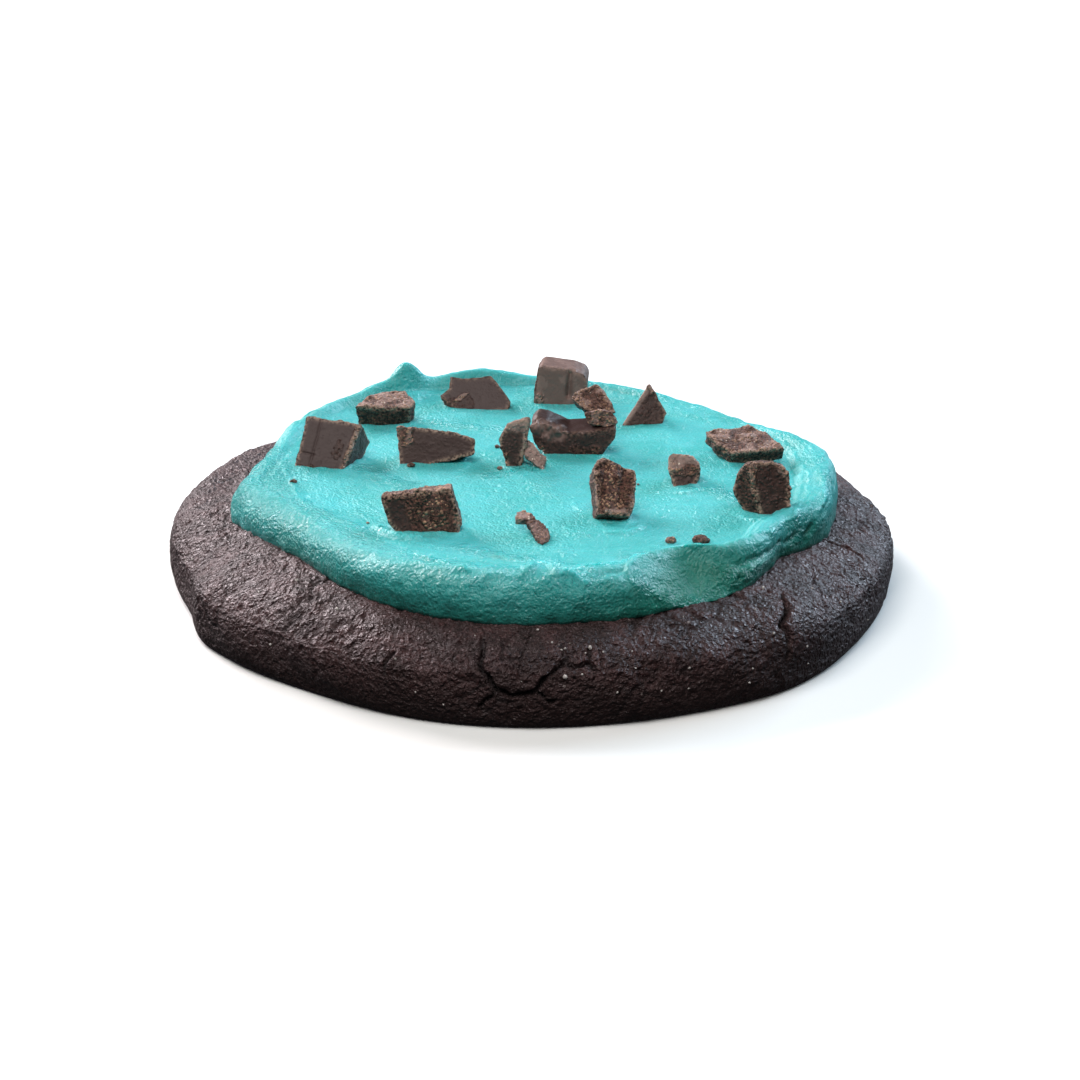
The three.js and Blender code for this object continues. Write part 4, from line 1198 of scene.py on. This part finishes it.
def roughen(piece, name, faces, basis, foot, seed, edges):
    """Moves each point by the roughness of its kind of face, and stores the masks."""

    def on_front(*ends):
        return [np.array(basis @ Vector((*place, 0))) + foot for place in ends]

    places, normals = mesh_arrays(piece.data)
    shares = face_shares(normals, faces, basis)
    frayed = places + FRAY * rough_noise(places, FRAY_SIZE, seed + 6)[:, None]
    for start, end, radius, kind in PATCHES.get(name, []):
        away, _ = distance_to_path(frayed, on_front(start, end))
        inside = 1 - smoothstep(away, *(share * radius for share in PATCH_EDGE))
        shares = {other: share * (1 - inside) for other, share in shares.items()}
        shares[kind] = shares[kind] + inside
    broad_size, fine_size, broken, pale = (
        sum(shares[kind] * FACE_KINDS[kind][value] for kind in FACE_KINDS)
        for value in ("broad", "fine", "broken", "pale")
    )
    shifted = places + seed * SEED_SHIFT
    facets = creased_noise(shifted, FACET_SIZE, seed) - FACET_LEVEL
    wandered = shifted + FLAKE_WANDER * rough_noise(shifted, FLAKE_WANDER_SIZE, seed=5)[:, None]
    flakes = creased_noise(wandered, FLAKE_SIZE, seed + 1) - FLAKE_LEVEL
    nearest, _ = cells_near(shifted, GRANULE_SIZE, seed + 2)
    granules = GRANULE_SHARE * (GRANULE_LEVEL - nearest) * broken
    relief = broad_size * facets + fine_size * (flakes + granules)
    relief += GRIT_HEIGHT * noise(shifted, GRIT_SIZE, seed + 3)
    marked = places + layer(shifted, MARK_WANDER)[:, None]
    for start, end, depth, width in MARKS.get(name, []):
        away, _ = distance_to_path(marked, on_front(start, end))
        relief -= depth * bell(away, width)
    edge_distance = np.full(len(places), FAR)
    for edge in edges:
        edge_distance = np.minimum(edge_distance, distance_to_path(places, edge)[0])
    # Near sharp edges: chips, and lighter colour that is partly dust, partly a painted highlight
    worn_and_highlit = EDGE_WEAR_AND_HIGHLIGHT.get(name, 1) * bell(edge_distance, EDGE_WIDTH)
    chipped = smoothstep(noise(shifted, CHIP_SIZE, seed + 4), *CHIP_RANGE)
    relief -= CHIP_DEPTH * worn_and_highlit * chipped * mix(SMOOTH_CHIP_SHARE, 1, broken)
    moved = places + normals * relief[:, None]
    moved = foot + (moved - foot) * np.array(GROWTH.get(name, (1, 1, 1)))
    finish_mesh(piece.data, moved, {"broken": broken, "pale": pale, "edge": worn_and_highlit})


print("an edge is sharp from", round(math.degrees(SHARP_TURN)), "degrees")

# %% [markdown]
# All pieces go through the same steps, so one loop makes them. Each is welded, its sharp edges are noted
# before the remesh rounds them, and its faces are roughened by their kinds.

# %% Make the fourteen pieces
chunk_pieces = []
for seed, (name, (foot, lean, turn, faces)) in enumerate(CHUNKS.items(), start=1):
    node = "chocolate_" + name
    piece = welded_copy("chopped_" + name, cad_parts[node].data)
    edges = sharp_edges(piece.data)
    remesh(piece, CHUNK_VOXEL, SMOOTHING.get(name, LEAST_SMOOTHING))
    x, y, lift = foot
    foot_place = np.array([x, y, dish_height(x, y) + lift])
    roughen(piece, name, faces, face_basis(lean, turn), foot_place, seed, edges)
    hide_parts(node)
    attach(piece, BODY)
    chunk_pieces.append(piece)
print("triangles in the largest piece:", max(triangles(piece) for piece in chunk_pieces))

# %% [markdown]
# ## Shards and crumbs
# Chopping also leaves splinters and crumbs. They are made like the large pieces, from an outline drawn back
# by its thickness, or from a small ball, and joined to one mesh, because one piece for each kind keeps the
# scene simple.

# %% Small chocolate
# Each shard has a place, a lift, a lean and a thickness, how broken and pale it is, and its outline
SHARDS = [
    ((1.1, 0.8), 0.1, 40, 0.9, (0.35, 1.3), [(-2.1, 4.3), (-1, 3.8), (0, 2.2), (0.9, 1.6), (0.5, -0.6),
                                             (-0.8, 0.6), (-2.2, 1.7)]),
    ((1.2, -28.2), 0.5, 75, 0.9, (0.6, 0.3), [(-1.9, 4.1), (-0.9, 4.6), (0, 3.9), (1.1, 1.9), (1, 0),
                                              (0.2, -1.1), (-0.6, 0.2), (-1.1, 2.1)]),
    ((1.2, -28.2), 0.6, 75, 1.0, (0.85, 1.2), [(-3.3, 4.3), (-3.1, 5.8), (-2.2, 6.3), (-1.3, 5.6),
                                               (-0.6, 4.6), (-1.7, 4.1)]),
    ((11.5, 6.6), 3.2, 15, 1.8, (0.9, 0.6), [(-4.2, 2.7), (-2, 3.3), (-0.3, 2.9), (0.6, 1.4),
                                             (-1.1, 0.8), (-3.4, 1.2)]),
]
# Each crumb has a place and a radius
CRUMBS = [
    ((17.8, -26.8), 0.62), ((21.6, -27.3), 0.95), ((-32.5, -5.4), 0.45), ((-5, 10.2), 0.34),
    ((-16.9, 1.8), 0.5), ((14.5, -4.8), 0.18), ((-21.3, -20.6), 0.2), ((-4.5, 0.9), 0.35),
]
CRUMB_LOOK = (0.85, 0.45)
CRUMB_STRETCH = (1.1, 0.9, 0.75)
CRUMB_LIFT = 0.3
SHARD_VOXEL = 0.1
SHARD_ROUGHNESS = 0.16
CRUMB_ROUGHNESS = 0.22
FIRST_SHARD_SEED = 40
FIRST_CRUMB_SEED = 50
LUMP_SIZE = 4
LUMP_GRIT_SIZE = 1.6
LUMP_GRIT = 0.4


def shard_mesh(place, lift, lean, thick, outline):
    """A thin slab behind an outline, leant back and put in its place."""
    shape = bmesh.new()
    basis = face_basis(lean, 0)
    foot = Vector((*place, dish_height(*place) + lift))
    front, back = (
        [shape.verts.new((basis @ Vector((right, up, out)) + foot) * MM) for right, up in outline]
        for out in (0, -thick)
    )
    shape.faces.new(reversed(front))
    shape.faces.new(back)
    for i in range(len(outline)):
        after = (i + 1) % len(outline)
        shape.faces.new((front[i], front[after], back[after], back[i]))
    bmesh.ops.recalc_face_normals(shape, faces=shape.faces)
    return mesh_from("shard", shape)


def crumb_mesh(place, radius):
    """A small ball, a little flat, that rests in the frosting."""
    shape = bmesh.new()
    bmesh.ops.create_icosphere(shape, subdivisions=4, radius=radius * MM)
    bmesh.ops.scale(shape, vec=CRUMB_STRETCH, verts=shape.verts)
    centre = Vector((*place, dish_height(*place) + CRUMB_LIFT * radius)) * MM
    bmesh.ops.translate(shape, vec=centre, verts=shape.verts)
    return mesh_from("crumb", shape)


def roughen_small(piece, seed, size, look):
    """Lumpy relief for a small piece. Its look is how broken and how pale it is."""
    broken, pale = look
    places, normals = mesh_arrays(piece.data)
    lumps = rough_noise(places + seed, size * LUMP_SIZE, seed)
    relief = size * (lumps + LUMP_GRIT * noise(places, size * LUMP_GRIT_SIZE, seed + 1))
    finish_mesh(piece.data, places + normals * relief[:, None], {"broken": broken, "pale": pale, "edge": 0})


def join(name, pieces):
    """One mesh from several, with their masks."""
    with bpy.context.temp_override(active_object=pieces[0], selected_editable_objects=pieces):
        bpy.ops.object.join()
    pieces[0].name = name
    pieces[0].data.name = name
    pieces[0].data.shade_smooth()
    return pieces[0]


small_pieces = []
for seed, (place, lift, lean, thick, look, outline) in enumerate(SHARDS, start=FIRST_SHARD_SEED):
    piece = welded_copy("shard", shard_mesh(place, lift, lean, thick, outline))
    remesh(piece, SHARD_VOXEL, LEAST_SMOOTHING)
    roughen_small(piece, seed, SHARD_ROUGHNESS, look)
    small_pieces.append(piece)
for seed, (place, radius) in enumerate(CRUMBS, start=FIRST_CRUMB_SEED):
    piece = welded_copy("crumb", crumb_mesh(place, radius))
    roughen_small(piece, seed, CRUMB_ROUGHNESS * radius, CRUMB_LOOK)
    small_pieces.append(piece)
crumbs = join("chocolate_crumbs", small_pieces)
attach(crumbs, BODY)
print("triangles in the crumbs:", triangles(crumbs))

# %% [markdown]
# ## Sugar grains
# A few pale grains of sugar and salt stuck to the crust. Each is a tiny rough ball, stretched and turned at
# random, with its middle on the surface of the cookie's mesh, so that half of it is sunk. All of them are
# made in one mesh.

# %% Grains on the crust
GRAIN_COUNT = 80
NAMED_GRAINS = [(-29.8, -29.3, 11.5), (29.3, -31.6, 11.5), (4, -49.6, 7.2), (7.1, -46.4, 9.8),
                (-24.1, -36.6, 10.6)]
NAMED_GRAIN_SIZE = 0.24
GRAIN_SIZES = (0.08, 0.17)
GRAIN_STRETCHES = (0.7, 1.5)
FULL_TURN = 6.28


def grain_mesh(places):
    draws = np.random.default_rng(23)
    surface = cookie_places.reshape(-1, 3)
    outside = np.hypot(surface[:, 0], surface[:, 1]) > BARE_RADIUS
    shown = np.flatnonzero((surface[:, 2] > PITS_ABOVE) & outside)
    centres = [surface[np.linalg.norm(surface - place, axis=1).argmin()] for place in places]
    centres += [surface[number] for number in draws.choice(shown, GRAIN_COUNT, replace=False)]
    shape = bmesh.new()
    for number, centre in enumerate(centres):
        size = NAMED_GRAIN_SIZE if number < len(places) else draws.uniform(*GRAIN_SIZES)
        turn = Matrix.Rotation(draws.uniform(0, FULL_TURN), 4, Vector(draws.normal(size=3)))
        stretch = Matrix.Diagonal((*draws.uniform(*GRAIN_STRETCHES, 3), 1))
        place = Matrix.Translation(centre * MM) @ turn @ stretch
        bmesh.ops.create_icosphere(shape, subdivisions=1, radius=size * MM, matrix=place)
    return mesh_from("sugar_grains", shape)


grains = new_object("sugar_grains", grain_mesh(NAMED_GRAINS))
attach(grains, BODY)
print("sugar grains:", GRAIN_COUNT + len(NAMED_GRAINS))

# %% [markdown]
# ## Shader groups
# Fine grain and crumb specks come back in several materials. Fine grain is a noise that gives a height for
# the bump and a tone for the colour. Crumb specks are small spots of another colour, scattered in cells,
# with only a share of the cells filled. Each is a node group, so that it is built once and each material
# sets its own sizes. Sizes are counted for each metre, because the object is a few centimetres wide.

# %% Helpers for nodes
def connect(tree, value, socket):
    """Sets a socket to a value, or links another node's output to it."""
    if isinstance(value, bpy.types.NodeSocket):
        tree.links.new(value, socket)
    else:
        socket.default_value = value


def add_node(tree, kind, settings=None, **inputs):
    """A node with its settings and inputs. An input has its name, or its number after the letter i."""
    node = tree.nodes.new(kind)
    for name, value in (settings or {}).items():
        setattr(node, name, value)
    for name, value in inputs.items():
        place = int(name[1:]) if name[1:].isdigit() else name.replace("_", " ")
        connect(tree, value, node.inputs[place])
    return node


def math_node(tree, operation, first, second=0.0, clamp=False):
    settings = {"operation": operation, "use_clamp": clamp}
    return add_node(tree, "ShaderNodeMath", settings, i0=first, i1=second).outputs[0]


def times(tree, first, second):
    return math_node(tree, "MULTIPLY", first, second)


def plus(tree, first, second):
    return math_node(tree, "ADD", first, second)


def vector_node(tree, operation, vector, **inputs):
    return add_node(tree, "ShaderNodeVectorMath", {"operation": operation}, i0=vector, **inputs).outputs


def mapped(tree, value, low, high, new_low=0.0, new_high=1.0):
    """A value moved from one range to another, with soft ends."""
    settings = {"interpolation_type": "SMOOTHSTEP"}
    ranges = {"i1": low, "i2": high, "i3": new_low, "i4": new_high}
    return add_node(tree, "ShaderNodeMapRange", settings, i0=value, **ranges).outputs[0]


def mixed(tree, share, first, second):
    """Two colours mixed by a share."""
    node = add_node(tree, "ShaderNodeMix", {"data_type": "RGBA"}, i0=share, i6=first, i7=second)
    return node.outputs[2]


def object_place(tree):
    return add_node(tree, "ShaderNodeTexCoord").outputs["Object"]


def new_group(name, inputs, outputs):
    """A node group with named number inputs and outputs, its inputs, and the node for its results."""
    group = bpy.data.node_groups.new(name, "ShaderNodeTree")
    for label, default in inputs.items():
        socket = group.interface.new_socket(label, in_out="INPUT", socket_type="NodeSocketFloat")
        socket.default_value = default
    for label in outputs:
        group.interface.new_socket(label, in_out="OUTPUT", socket_type="NodeSocketFloat")
    return group, group.nodes.new("NodeGroupInput").outputs, group.nodes.new("NodeGroupOutput")


def end_group(group, result, **outputs):
    """Links the results of a group."""
    for label, value in outputs.items():
        group.links.new(value, result.inputs[label])
    print("group:", group.name)


def use_group(tree, group, **inputs):
    return add_node(tree, "ShaderNodeGroup", {"node_tree": group}, **inputs).outputs


print("node groups before the first is made:", len(bpy.data.node_groups))

# %% Fine grain
TONE_RANGE = (0.36, 0.64)

grain_group, given, result = new_group(
    "fine grain", {"Grains per metre": 1500, "Detail": 3}, ["Height", "Tone"]
)
place = object_place(grain_group)
sizes = {"Scale": given["Grains per metre"], "Detail": given["Detail"]}
grain = add_node(grain_group, "ShaderNodeTexNoise", Vector=place, **sizes).outputs["Fac"]
end_group(grain_group, result, Height=grain, Tone=mapped(grain_group, grain, *TONE_RANGE))

# %% [markdown]
# The knife leaves fine streaks too, far finer than the mesh. They run round the rim, so this group measures
# places by their distance from the middle and their direction from it, and squeezes the noise across. Only
# the frosting uses it, and as a group it keeps the frosting's material short.

# %% Knife streaks
STREAK_DETAIL = 2.0

streak_group, given, result = new_group(
    "knife streaks", {"Streaks per metre": 1500, "Length": 6}, ["Height"]
)
parts = add_node(streak_group, "ShaderNodeSeparateXYZ", i0=object_place(streak_group)).outputs
level = add_node(streak_group, "ShaderNodeCombineXYZ", i0=parts[0], i1=parts[1]).outputs[0]
distance = vector_node(streak_group, "LENGTH", level)["Value"]
squeeze = math_node(streak_group, "DIVIDE", STROKE_RADIUS * MM, given["Length"])
direction = vector_node(streak_group, "NORMALIZE", level)[0]
direction = vector_node(streak_group, "SCALE", direction, Scale=squeeze)[0]
turned = add_node(streak_group, "ShaderNodeSeparateXYZ", i0=direction).outputs
across = plus(streak_group, distance, parts[2])
turned = {"i0": across, "i1": turned[0], "i2": turned[1]}
place = add_node(streak_group, "ShaderNodeCombineXYZ", **turned).outputs[0]
sizes = {"Scale": given["Streaks per metre"], "Detail": STREAK_DETAIL}
streaks = add_node(streak_group, "ShaderNodeTexNoise", Vector=place, **sizes).outputs["Fac"]
end_group(streak_group, result, Height=streaks)

# %% Crumb specks
SPECK_SIZE_SPREAD = 0.4
SPECK_EDGE = 0.35

speck_group, given, result = new_group(
    "crumb specks", {"Specks per metre": 2500, "Filled share": 0.3, "Speck size": 0.4}, ["Mask", "Height"]
)
place = object_place(speck_group)
cell = add_node(speck_group, "ShaderNodeTexVoronoi", Vector=place, Scale=given["Specks per metre"]).outputs
chances = add_node(speck_group, "ShaderNodeSeparateColor", i0=cell["Color"]).outputs
filled = math_node(speck_group, "LESS_THAN", chances[0], given["Filled share"])
size = times(speck_group, given["Speck size"], plus(speck_group, chances[1], SPECK_SIZE_SPREAD))
away = math_node(speck_group, "DIVIDE", cell["Distance"], size)
closeness = math_node(speck_group, "SUBTRACT", 1.0, away, clamp=True)
speck = times(speck_group, filled, mapped(speck_group, closeness, 0.0, SPECK_EDGE))
end_group(speck_group, result, Mask=speck, Height=times(speck_group, filled, closeness))

# %% [markdown]
# ## Materials
# The crust is dull cocoa: very dark, a little lighter where flour or sugar dried on the bumps, with shade
# painted nearly black into the cracks and creases. The lower side, which lay close to the tray, is duller
# and redder, and its darker colour there is partly painted shade.

# %% Crust material
def new_material(name):
    """A material with its tree and its surface, whose sockets are set by name."""
    material = bpy.data.materials.new(name)
    material.use_nodes = True
    tree = material.node_tree
    tree.nodes.clear()
    surface = tree.nodes.new("ShaderNodeBsdfPrincipled")
    output = tree.nodes.new("ShaderNodeOutputMaterial")
    tree.links.new(surface.outputs[0], output.inputs["Surface"])
    print("material:", name)
    return material, tree, surface.inputs


def mask_node(tree, name):
    return add_node(tree, "ShaderNodeAttribute", {"attribute_name": name}).outputs["Fac"]


def bump(tree, height, distance, under=None):
    """Bumps of this height in mm, on top of other bumps."""
    node = add_node(tree, "ShaderNodeBump", Strength=1.0, Distance=distance * MM, Height=height)
    if under is not None:
        tree.links.new(under, node.inputs["Normal"])
    return node.outputs[0]


CRUST_DARK = (0.018, 0.0068, 0.0056, 1)
CRUST_LIGHT = (0.073, 0.0315, 0.031, 1)
CRUST_SIDE = (0.017, 0.0046, 0.0032, 1)
CRUST_CRACK_SHADE = (0.003, 0.0015, 0.0013, 1)
CRUST_SPECK = (0.22, 0.18, 0.17, 1)
LEAST_TONE = 0.3
CRUST_ROUGHNESS = (0.56, 0.25)
DULL_SIDE = 0.25
LUMPY_BUMP = 0.8
WRINKLED_BUMP = 0.75
FINE_BUMP = 0.52

crust_material, tree, surface = new_material("baked crust")
broad = use_group(tree, grain_group, Grains_per_metre=260, Detail=4)
fine = use_group(tree, grain_group, Grains_per_metre=2300, Detail=2)
wrinkled = use_group(tree, grain_group, Grains_per_metre=1400, Detail=4)
lumpy = use_group(tree, grain_group, Grains_per_metre=620, Detail=2)
specks = use_group(tree, speck_group, Specks_per_metre=1500, Filled_share=0.035, Speck_size=0.24)
fine_tone = plus(tree, times(tree, fine["Tone"], 1 - LEAST_TONE), LEAST_TONE)
colour = mixed(tree, times(tree, broad["Tone"], fine_tone), CRUST_DARK, CRUST_LIGHT)
# The lower side: duller and redder, and darker towards the bottom, partly as painted shade
colour = mixed(tree, mask_node(tree, "side"), colour, CRUST_SIDE)
colour = mixed(tree, specks["Mask"], colour, CRUST_SPECK)
# Painted shade: nearly black in the large cracks and in the creases of the wrinkles
colour = mixed(tree, mask_node(tree, "crack"), colour, CRUST_CRACK_SHADE)
connect(tree, colour, surface["Base Color"])
roughness = mapped(tree, fine["Tone"], 0, 1, *CRUST_ROUGHNESS)
dull_side = times(tree, mask_node(tree, "side"), DULL_SIDE)
connect(tree, plus(tree, roughness, dull_side), surface["Roughness"])
bumps = bump(tree, lumpy["Height"], LUMPY_BUMP)
bumps = bump(tree, wrinkled["Height"], WRINKLED_BUMP, bumps)
bumps = bump(tree, fine["Height"], FINE_BUMP, bumps)
connect(tree, bumps, surface["Normal"])
surface["Specular IOR Level"].default_value = 0.57
surface["Specular Tint"].default_value = (1.0, 0.84, 0.87, 1)
surface["Sheen Weight"].default_value = 0.03
surface["Sheen Roughness"].default_value = 0.45
surface["Sheen Tint"].default_value = (1.0, 0.86, 0.87, 1)
crust.data.materials.append(crust_material)

# %% [markdown]
# Buttercream is fat and sugar: light goes a millimetre or two into it before it comes out again, so
# subsurface scattering matters more than its colour. Its skin is moist, so it has a soft gloss that fine
# sugar crystals break up into glints. The glints are strongest where the skin is wet. Shade is painted
# into the colour at the foot of the wall and in the scoop, which turns deeper and darker there.

# %% Frosting material
MINT = (0.08, 0.485, 0.495, 1)
MINT_DEEP = (0.056, 0.425, 0.42, 1)
# A darker mint for the painted shade at the foot of the wall and in the scoop
MINT_FOOT_SHADE = (0.018, 0.225, 0.175, 1)
FROSTING_ROUGHNESS = (0.34, 0.09)
WET_ENOUGH = 0.8
DRY_SUGAR = 0.35
DRY_FINE_SUGAR = 0.45
SOFT_BUMP = 0.18
STREAK_BUMP = 0.12
SUGAR_BUMP = 0.6
FINE_SUGAR_BUMP = 0.48

frosting_material, tree, surface = new_material("mint buttercream")
broad = use_group(tree, grain_group, Grains_per_metre=160, Detail=2)
medium = use_group(tree, grain_group, Grains_per_metre=800, Detail=2)
sugary = use_group(tree, grain_group, Grains_per_metre=1700, Detail=1)
fine = use_group(tree, grain_group, Grains_per_metre=3300, Detail=2)
streaks = use_group(tree, streak_group, Streaks_per_metre=1700, Length=5)
colour = mixed(tree, broad["Tone"], MINT_DEEP, MINT)
# The deep mask paints shade: the mint turns darker towards the foot of the wall and in the scoop
connect(tree, mixed(tree, mask_node(tree, "deep"), colour, MINT_FOOT_SHADE), surface["Base Color"])
wet = mask_node(tree, "wet")
connect(tree, mapped(tree, wet, 0, 1, *FROSTING_ROUGHNESS), surface["Roughness"])
sugar_height = times(tree, sugary["Height"], mapped(tree, wet, 0, WET_ENOUGH, DRY_SUGAR))
fine_height = times(tree, fine["Height"], mapped(tree, wet, 0, WET_ENOUGH, DRY_FINE_SUGAR))
bumps = bump(tree, medium["Height"], SOFT_BUMP)
bumps = bump(tree, streaks["Height"], STREAK_BUMP, bumps)
bumps = bump(tree, sugar_height, SUGAR_BUMP, bumps)
bumps = bump(tree, fine_height, FINE_SUGAR_BUMP, bumps)
connect(tree, bumps, surface["Normal"])
surface["Subsurface Weight"].default_value = 0.7
surface["Subsurface Radius"].default_value = (0.25, 1.0, 1.0)
surface["Subsurface Scale"].default_value = 1.8 * MM
surface["Specular IOR Level"].default_value = 0.5
frosting.data.materials.append(frosting_material)

# %% [markdown]
# Chocolate is satin where it is smooth. Where it broke it is matt, and the torn fat and sugar grains show
# as light brown specks. Dust from chopping collects along the edges, and their lighter colour is partly a
# painted highlight.

# %% Chocolate material
CHOCOLATE_SMOOTH = (0.032, 0.0155, 0.0138, 1)
CHOCOLATE_BROKEN = (0.13, 0.056, 0.04, 1)
CHOCOLATE_DEEP = (0.014, 0.0052, 0.004, 1)
CHOCOLATE_PALE = (0.34, 0.225, 0.195, 1)
CHOCOLATE_DUST_AND_HIGHLIGHT = (0.42, 0.27, 0.2, 1)
CHOCOLATE_SPECK = (0.5, 0.29, 0.19, 1)
CHOCOLATE_FLECK = (0.75, 0.62, 0.52, 1)
CHOCOLATE_ROUGHNESS = (0.46, 0.7)
CHOCOLATE_BUMP = 0.45
DUST_AND_HIGHLIGHT_SHARE = 0.9
# Ranges that are mapped to others: from low to high, and the new ends
TORN_SHARE = (0.1, 0.7)
PALE_PATCHES = (0.44, 0.56)
EVEN_PALE = (0.2, 0.7, 0.75, 0.2)
SPECKLED_PATCHES = (0.43, 0.55, 0.3, 1.0)
SPECKLED_WHERE_BROKEN = (0.35, 1.0)
FLECKED_WHERE_PALE = (0.6, 0.9)
ROUGH_WHERE_BROKEN = (0, 0.8, 0.05, 1.0)

chocolate_material, tree, surface = new_material("dark chocolate")
broken = mask_node(tree, "broken")
pale = mask_node(tree, "pale")
broad = use_group(tree, grain_group, Grains_per_metre=420, Detail=3)
fine = use_group(tree, grain_group, Grains_per_metre=2600, Detail=3)
specks = use_group(tree, speck_group, Specks_per_metre=2500, Filled_share=0.65, Speck_size=0.6)
flecks = use_group(tree, speck_group, Specks_per_metre=2800, Filled_share=0.14, Speck_size=0.35)
torn = mixed(tree, fine["Tone"], CHOCOLATE_DEEP, CHOCOLATE_BROKEN)
colour = mixed(tree, mapped(tree, broken, *TORN_SHARE), CHOCOLATE_SMOOTH, torn)
pale_patches = mapped(tree, broad["Height"], *PALE_PATCHES)
pale_share = math_node(tree, "MAXIMUM", pale_patches, mapped(tree, broken, *EVEN_PALE))
colour = mixed(tree, times(tree, pale, pale_share), colour, CHOCOLATE_PALE)
patches = mapped(tree, broad["Height"], *SPECKLED_PATCHES)
speckled = times(tree, patches, mapped(tree, broken, *SPECKLED_WHERE_BROKEN))
colour = mixed(tree, times(tree, specks["Mask"], speckled), colour, CHOCOLATE_SPECK)
flecked = times(tree, flecks["Mask"], mapped(tree, pale, *FLECKED_WHERE_PALE))
colour = mixed(tree, flecked, colour, CHOCOLATE_FLECK)
# Lighter edges: chopping dust, and partly a painted highlight
dust_and_highlight = times(tree, mask_node(tree, "edge"), times(tree, fine["Tone"], DUST_AND_HIGHLIGHT_SHARE))
connect(tree, mixed(tree, dust_and_highlight, colour, CHOCOLATE_DUST_AND_HIGHLIGHT), surface["Base Color"])
connect(tree, mapped(tree, broken, 0, 1, *CHOCOLATE_ROUGHNESS), surface["Roughness"])
rough_height = plus(tree, fine["Height"], specks["Height"])
rough_height = times(tree, rough_height, mapped(tree, broken, *ROUGH_WHERE_BROKEN))
connect(tree, bump(tree, rough_height, CHOCOLATE_BUMP), surface["Normal"])
surface["Specular IOR Level"].default_value = 0.32
surface["Specular Tint"].default_value = (1.0, 0.88, 0.86, 1)
for piece in [*chunk_pieces, crumbs]:
    piece.data.materials.clear()
    piece.data.materials.append(chocolate_material)

# %% [markdown]
# A grain of sugar is pale and a little cloudy.

# %% Sugar material
SUGAR = (0.62, 0.58, 0.55, 1)
SUGAR_SHADE = (0.4, 0.36, 0.34, 1)

sugar_material, tree, surface = new_material("sugar grain")
fine = use_group(tree, grain_group, Grains_per_metre=5000, Detail=2)
connect(tree, mixed(tree, fine["Tone"], SUGAR_SHADE, SUGAR), surface["Base Color"])
surface["Roughness"].default_value = 0.4
grains.data.materials.append(sugar_material)

# %% [markdown]
# ## Floor and light
# The photograph shows the cookie cut out on white, lit by a large window behind it to the left and a cooler
# one behind it to the right, with the front in shade. A plain pale floor carries it, and throws no light
# back on it. Large area lights stand for the windows, because a large light gives soft shadows and broad
# reflections, and a dim sky fills the front.

# %% Floor
FLOOR_SIZE = 12
FLOOR_COLOUR = (0.86, 0.86, 0.85, 1)
FLOOR_LIGHT = (0.88, 0.88, 0.87, 1)

floor_mesh = bpy.data.meshes.new("floor")
half = FLOOR_SIZE / 2
corners = [(x * half, y * half, 0) for x, y in ((-1, -1), (1, -1), (1, 1), (-1, 1))]
floor_mesh.from_pydata(corners, [], [(0, 1, 2, 3)])
floor = new_object("floor", floor_mesh)
floor_material, tree, surface = new_material("pale floor")
cloudy = use_group(tree, grain_group, Grains_per_metre=2, Detail=1)
connect(tree, mixed(tree, cloudy["Tone"], FLOOR_COLOUR, FLOOR_LIGHT), surface["Base Color"])
surface["Roughness"].default_value = 0.9
surface["Specular IOR Level"].default_value = 0.0
floor_mesh.materials.append(floor_material)
floor.visible_diffuse = False
floor.visible_glossy = False

# %% Lights
# For each light: its size in metres, watts and colour, then its azimuth and elevation in degrees, and its
# distance in metres. Azimuth 0 is the camera's side and 90 is the right.
LIGHTS = {
    "left window": ((0.9, 0.7), 36, (1.0, 0.93, 0.95), -136, 28, 1.5),
    "right window": ((0.9, 0.6), 24, (0.66, 0.84, 1.0), 132, 27, 1.5),
    "roof window": ((0.22, 0.22), 0.8, (1.0, 0.99, 0.97), -24, 64, 0.35),
    "room behind the camera": ((1.6, 1.0), 5.4, (1.0, 0.96, 0.92), 0, 56, 1.5),
}
SKY_COLOUR = (0.9, 0.95, 1.0, 1)
SKY_STRENGTH = 0.06


def area_light(name, size, watts, colour, azimuth, elevation, distance):
    """A soft light that looks at the cookie."""
    data = bpy.data.lights.new(name, "AREA")
    data.shape = "RECTANGLE"
    data.size, data.size_y = size
    data.energy = watts
    data.color = colour
    light = new_object(name, data)
    turn = math.radians(azimuth)
    rise = math.radians(elevation)
    direction = Vector((math.sin(turn) * math.cos(rise), -math.cos(turn) * math.cos(rise), math.sin(rise)))
    light.location = direction * distance
    light.rotation_euler = (-direction).to_track_quat("-Z", "Y").to_euler()


for name, settings in LIGHTS.items():
    area_light(name, *settings)

world = bpy.data.worlds.new("soft room")
scene.world = world
world.use_nodes = True
sky = world.node_tree.nodes["Background"].inputs
sky["Color"].default_value = SKY_COLOUR
sky["Strength"].default_value = SKY_STRENGTH
scene.view_settings.view_transform = "Standard"
print("lights:", len(LIGHTS))
